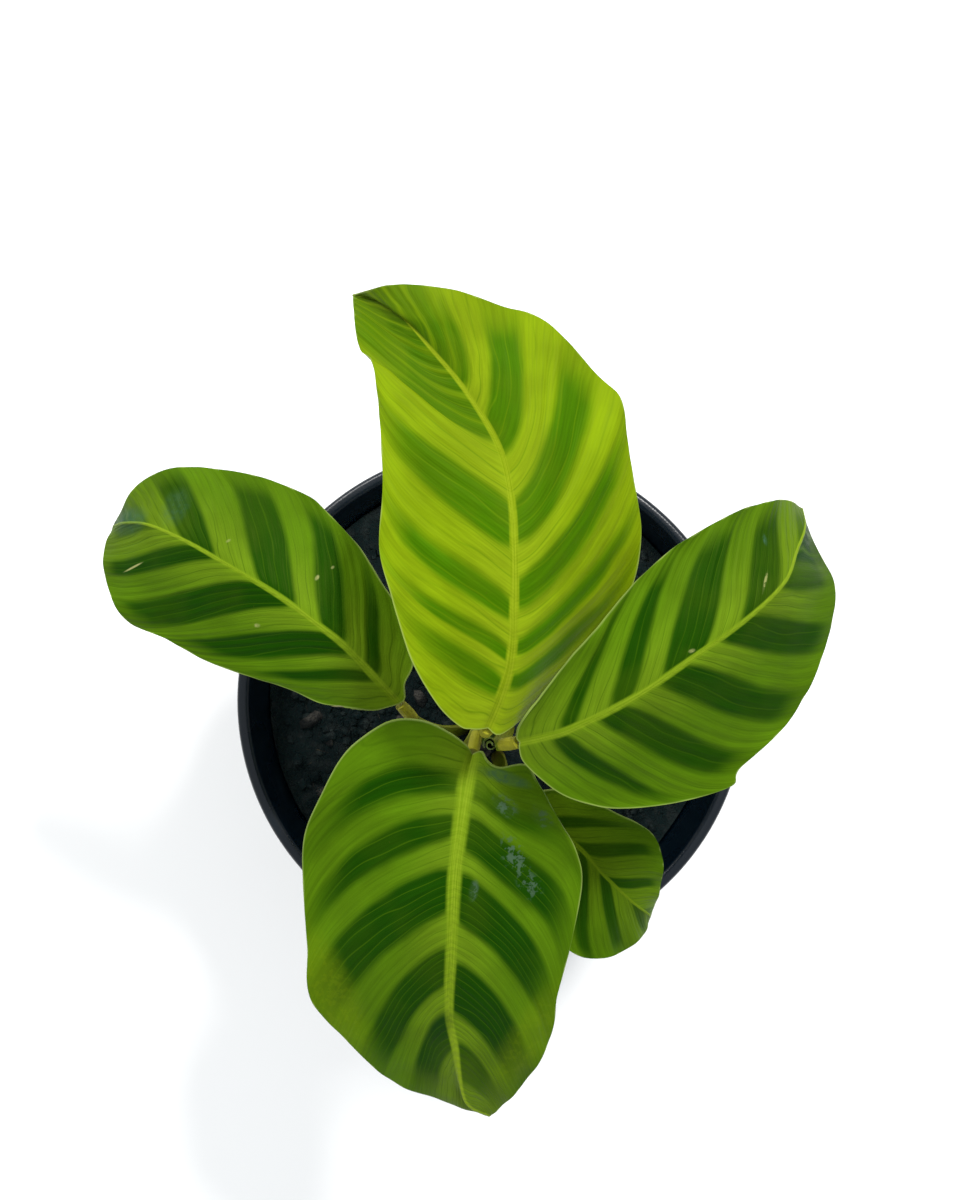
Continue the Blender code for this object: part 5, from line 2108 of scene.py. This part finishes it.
@dataclass
class Soil:
    """Potting mix: a lumpy surface with crumbs, bark chips and fibres lying on it.

    heights are those of the coarse, middle and fine lumps, and fine_waves the wavelength and
    seed of the two fine layers.
    """

    pot: Pot = field(default_factory=Pot)
    peat: EarthFinish = EarthFinish("soil_peat", (3, 21, 22), (24, 33, 33))
    rings: int = 110
    segments: int = 300
    edge_drop: float = 3.0
    heights: tuple = (0.9, 0.7, 0.55)
    fine_waves: tuple = ((5.2, 0.4), (2.3, 1.9))
    finest_share: float = 0.7
    smooth_angle: float = 75.0
    bit_angle: float = 38.0
    bit_margin: float = 0.5
    bit_roughness: float = 0.28
    bit_tilt: float = 0.9
    bit_lift: float = 0.35
    seed: int = 41

    def inner_radius(self, height: float) -> float:
        """Return the pot's inner radius at a height, less the gap to the soil."""
        return self.pot.wall_radius(height) - self.pot.wall - FIT_GAP

    def surface_height(self, x: np.ndarray, y: np.ndarray) -> np.ndarray:
        """Return the height of the soil's surface at places in millimetres.

        Args:
            x: places to the right of the pot's middle.
            y: places behind the pot's middle.

        Returns:
            Heights above the ground.
        """
        coarse = np.sin(x / 9.0 + 1.3) * np.cos(y / 11.0)
        middle = np.sin((x + y) / 5.1) * np.sin((x - y) / 6.3 + 0.7)
        places = np.stack((x, y, 0 * x), axis=-1)
        fine, finest = (ripples(places, length, seed) for length, seed in self.fine_waves)
        coarse_height, middle_height, fine_height = self.heights
        return (SOIL_LEVEL + coarse_height * coarse + middle_height * middle
                + fine_height * (fine + self.finest_share * finest))

    def surface(self) -> bpy.types.Object:
        """Return the soil's body with its lumpy top.

        Returns:
            The object, in the scene.
        """
        edge = self.inner_radius(SOIL_LEVEL - self.edge_drop)
        radius = (np.arange(1, self.rings + 1) / self.rings * edge)[:, None]
        angle = (np.arange(self.segments) * math.tau / self.segments)[None]
        x = radius * np.cos(angle)
        y = radius * np.sin(angle)
        top = np.stack((x, y, self.surface_height(x, y)), axis=-1).reshape(-1, 3)
        base_z = self.pot.floor + FIT_GAP
        base_radius = self.inner_radius(base_z)
        base = np.stack((base_radius * np.cos(angle[0]), base_radius * np.sin(angle[0]),
                         np.full(self.segments, base_z)), axis=-1)
        middle = np.array(((0.0, 0.0, float(self.surface_height(np.zeros(1), np.zeros(1))[0])),))
        vertices = np.vstack((top, base, middle))
        centre = len(vertices) - 1
        faces = [list(range(self.rings * self.segments, (self.rings + 1) * self.segments))[::-1]]
        for i in range(self.segments):
            j = (i + 1) % self.segments
            faces.append([centre, i, j])
            for k in range(self.rings):
                inner = k * self.segments
                outer = inner + self.segments
                faces.append([inner + i, outer + i, outer + j, inner + j])
        return mesh_object("soil_surface", vertices, faces, {}, self.smooth_angle)

    def lump(self, draw: np.random.Generator, ball: np.ndarray, loose: LooseBits) -> np.ndarray:
        """Return the points of one small lump lying on the soil.

        Args:
            draw: the source of random numbers.
            ball: points of a ball of radius one.
            loose: its kind.

        Returns:
            Points in millimetres.
        """
        least, most = loose.sizes
        limit = self.inner_radius(SOIL_LEVEL) - most * loose.stretch[1] - self.bit_margin
        radius = limit * math.sqrt(draw.random())
        turn = draw.random() * math.tau
        x = radius * math.cos(turn)
        y = radius * math.sin(turn)
        size = least + (most - least) * draw.random() ** 3
        shape = np.array((draw.uniform(*loose.stretch), 1.0, draw.uniform(*loose.flatness))) * size
        rough = 1 + self.bit_roughness * (draw.random(len(ball)) - 0.5)[:, None]
        spin = draw.random() * math.tau
        tilt = (draw.random() - 0.5) * self.bit_tilt
        points = ball * rough * shape
        points = points @ np.array(((math.cos(tilt), 0, math.sin(tilt)), (0, 1, 0),
                                    (-math.sin(tilt), 0, math.cos(tilt))))
        points = points @ np.array(((math.cos(spin), math.sin(spin), 0),
                                    (-math.sin(spin), math.cos(spin), 0), (0, 0, 1)))
        height = float(self.surface_height(np.array((x,)), np.array((y,)))[0])
        return points + np.array((x, y, height + shape[2] * self.bit_lift))

    def bits(self, loose: LooseBits) -> bpy.types.Object:
        """Return all the lumps of one kind as one mesh object.

        Args:
            loose: the kind of bits.

        Returns:
            The object, in the scene.
        """
        draw = np.random.default_rng(self.seed + len(loose.grain.value))
        bm = bmesh.new()
        finer = 2 if loose.grain is Grain.BARK else 1
        bmesh.ops.create_icosphere(bm, subdivisions=finer, radius=1.0)
        ball = np.array([vert.co[:] for vert in bm.verts])
        triangles = np.array([[vert.index for vert in face.verts] for face in bm.faces])
        bm.free()
        points = np.vstack([self.lump(draw, ball, loose) for _ in range(loose.count)])
        faces = np.vstack([triangles + k * len(ball) for k in range(loose.count)]).tolist()
        return mesh_object(loose.grain.value, points, faces, {}, self.bit_angle)

    def make(self, effects: Effects) -> None:
        """Build and dress the soil and its bits and tie them to the frame.

        Args:
            effects: the shared shader groups.
        """
        settle(self.surface(), [self.peat.make(effects)], "soil", "soil")
        for loose in LOOSE_BITS:
            settle(self.bits(loose), [loose.finish.make(effects)], "soil")


# Studio


@dataclass
class Studio:
    """Pale floor, soft lights and the photograph's camera."""

    floor_size: float = 14000.0
    key_place: tuple = (560.0, 860.0, 1800.0)
    key_size: float = 320.0
    key_power: float = 31.0
    side_place: tuple = (-620.0, 940.0, 1150.0)
    side_size: float = 420.0
    side_power: float = 13.0
    lamp_colour: tuple = (1.0, 0.985, 0.96)
    lamp_aim: tuple = (0.0, 0.0, 250.0)
    world_strength: float = 0.78
    world_colour: tuple = (0.93, 0.97, 1.0, 1.0)
    floor_tones: tuple = (0.93, 0.95)
    floor_grain: float = 3.0
    floor_roughness: float = 0.9
    camera_reach: float = 20000.0

    def floor(self) -> None:
        """Lay the plain pale floor."""
        half = self.floor_size / 2
        corners = np.array(((-half, -half, 0), (half, -half, 0), (half, half, 0), (-half, half, 0)))
        piece = mesh_object("floor", corners, [[0, 1, 2, 3]], {})
        material, graph, shader = new_material("pale_floor")
        tone = graph.spread(graph.noise(graph.place(), self.floor_grain), *self.floor_tones)
        graph.feed(shader.inputs["Base Color"], graph.combine(tone, tone, tone))
        shader.inputs["Roughness"].default_value = self.floor_roughness
        piece.data.materials.append(material)

    def lamp(self, name: str, place: tuple, size: float, power: float) -> None:
        """Add a round lamp that looks at the plant.

        Args:
            name: the lamp's name.
            place: where it hangs, in millimetres.
            size: its width, in millimetres.
            power: its power in watts.
        """
        data = bpy.data.lights.new(name, "AREA")
        data.shape = "DISK"
        data.size = size * MM
        data.energy = power
        data.color = self.lamp_colour
        lamp = bpy.data.objects.new(name, data)
        lamp.location = Vector(place) * MM
        aim = Vector(self.lamp_aim) * MM - lamp.location
        lamp.rotation_euler = aim.to_track_quat("-Z", "Y").to_euler()
        bpy.context.collection.objects.link(lamp)

    def light(self) -> None:
        """Add the lamps and the even light all round."""
        self.lamp("key_light", self.key_place, self.key_size, self.key_power)
        self.lamp("side_light", self.side_place, self.side_size, self.side_power)
        world = bpy.data.worlds.new("studio")
        world.use_nodes = True
        background = world.node_tree.nodes["Background"]
        background.inputs["Color"].default_value = self.world_colour
        background.inputs["Strength"].default_value = self.world_strength
        bpy.context.scene.world = world

    def camera(self) -> None:
        """Set up the camera straight above the plant, as the photograph was taken."""
        data = bpy.data.cameras.new("photo_camera")
        data.sensor_width = SENSOR_MM
        data.lens = FOCAL_PIXELS / max(PHOTO_WIDTH, PHOTO_HEIGHT) * SENSOR_MM
        data.clip_end = self.camera_reach * MM
        data.dof.use_dof = False
        camera = bpy.data.objects.new("photo_camera", data)
        camera.location = Vector(CAMERA_PLACE) * MM
        bpy.context.collection.objects.link(camera)
        bpy.context.scene.camera = camera

    def make(self) -> None:
        """Set up the whole studio."""
        self.floor()
        self.light()
        self.camera()
        bpy.context.scene.view_settings.view_transform = "Standard"


def main() -> None:
    """Build the studio, the pot with its soil, and the plant."""
    logging.basicConfig(level=logging.INFO, format="%(name)s %(message)s")
    Studio().make()
    effects = Effects()
    Pot().make(effects)
    Soil().make(effects)
    stalk_material = StalkFinish().make(effects)
    for shape, pattern, slot in LEAVES:
        Blade(shape, pattern, slot).make(effects)
        Stalk(shape).make(stalk_material)
    RolledLeaf().make(effects)
    DriedSheath().make(effects)


if __name__ == "__main__":
    main()
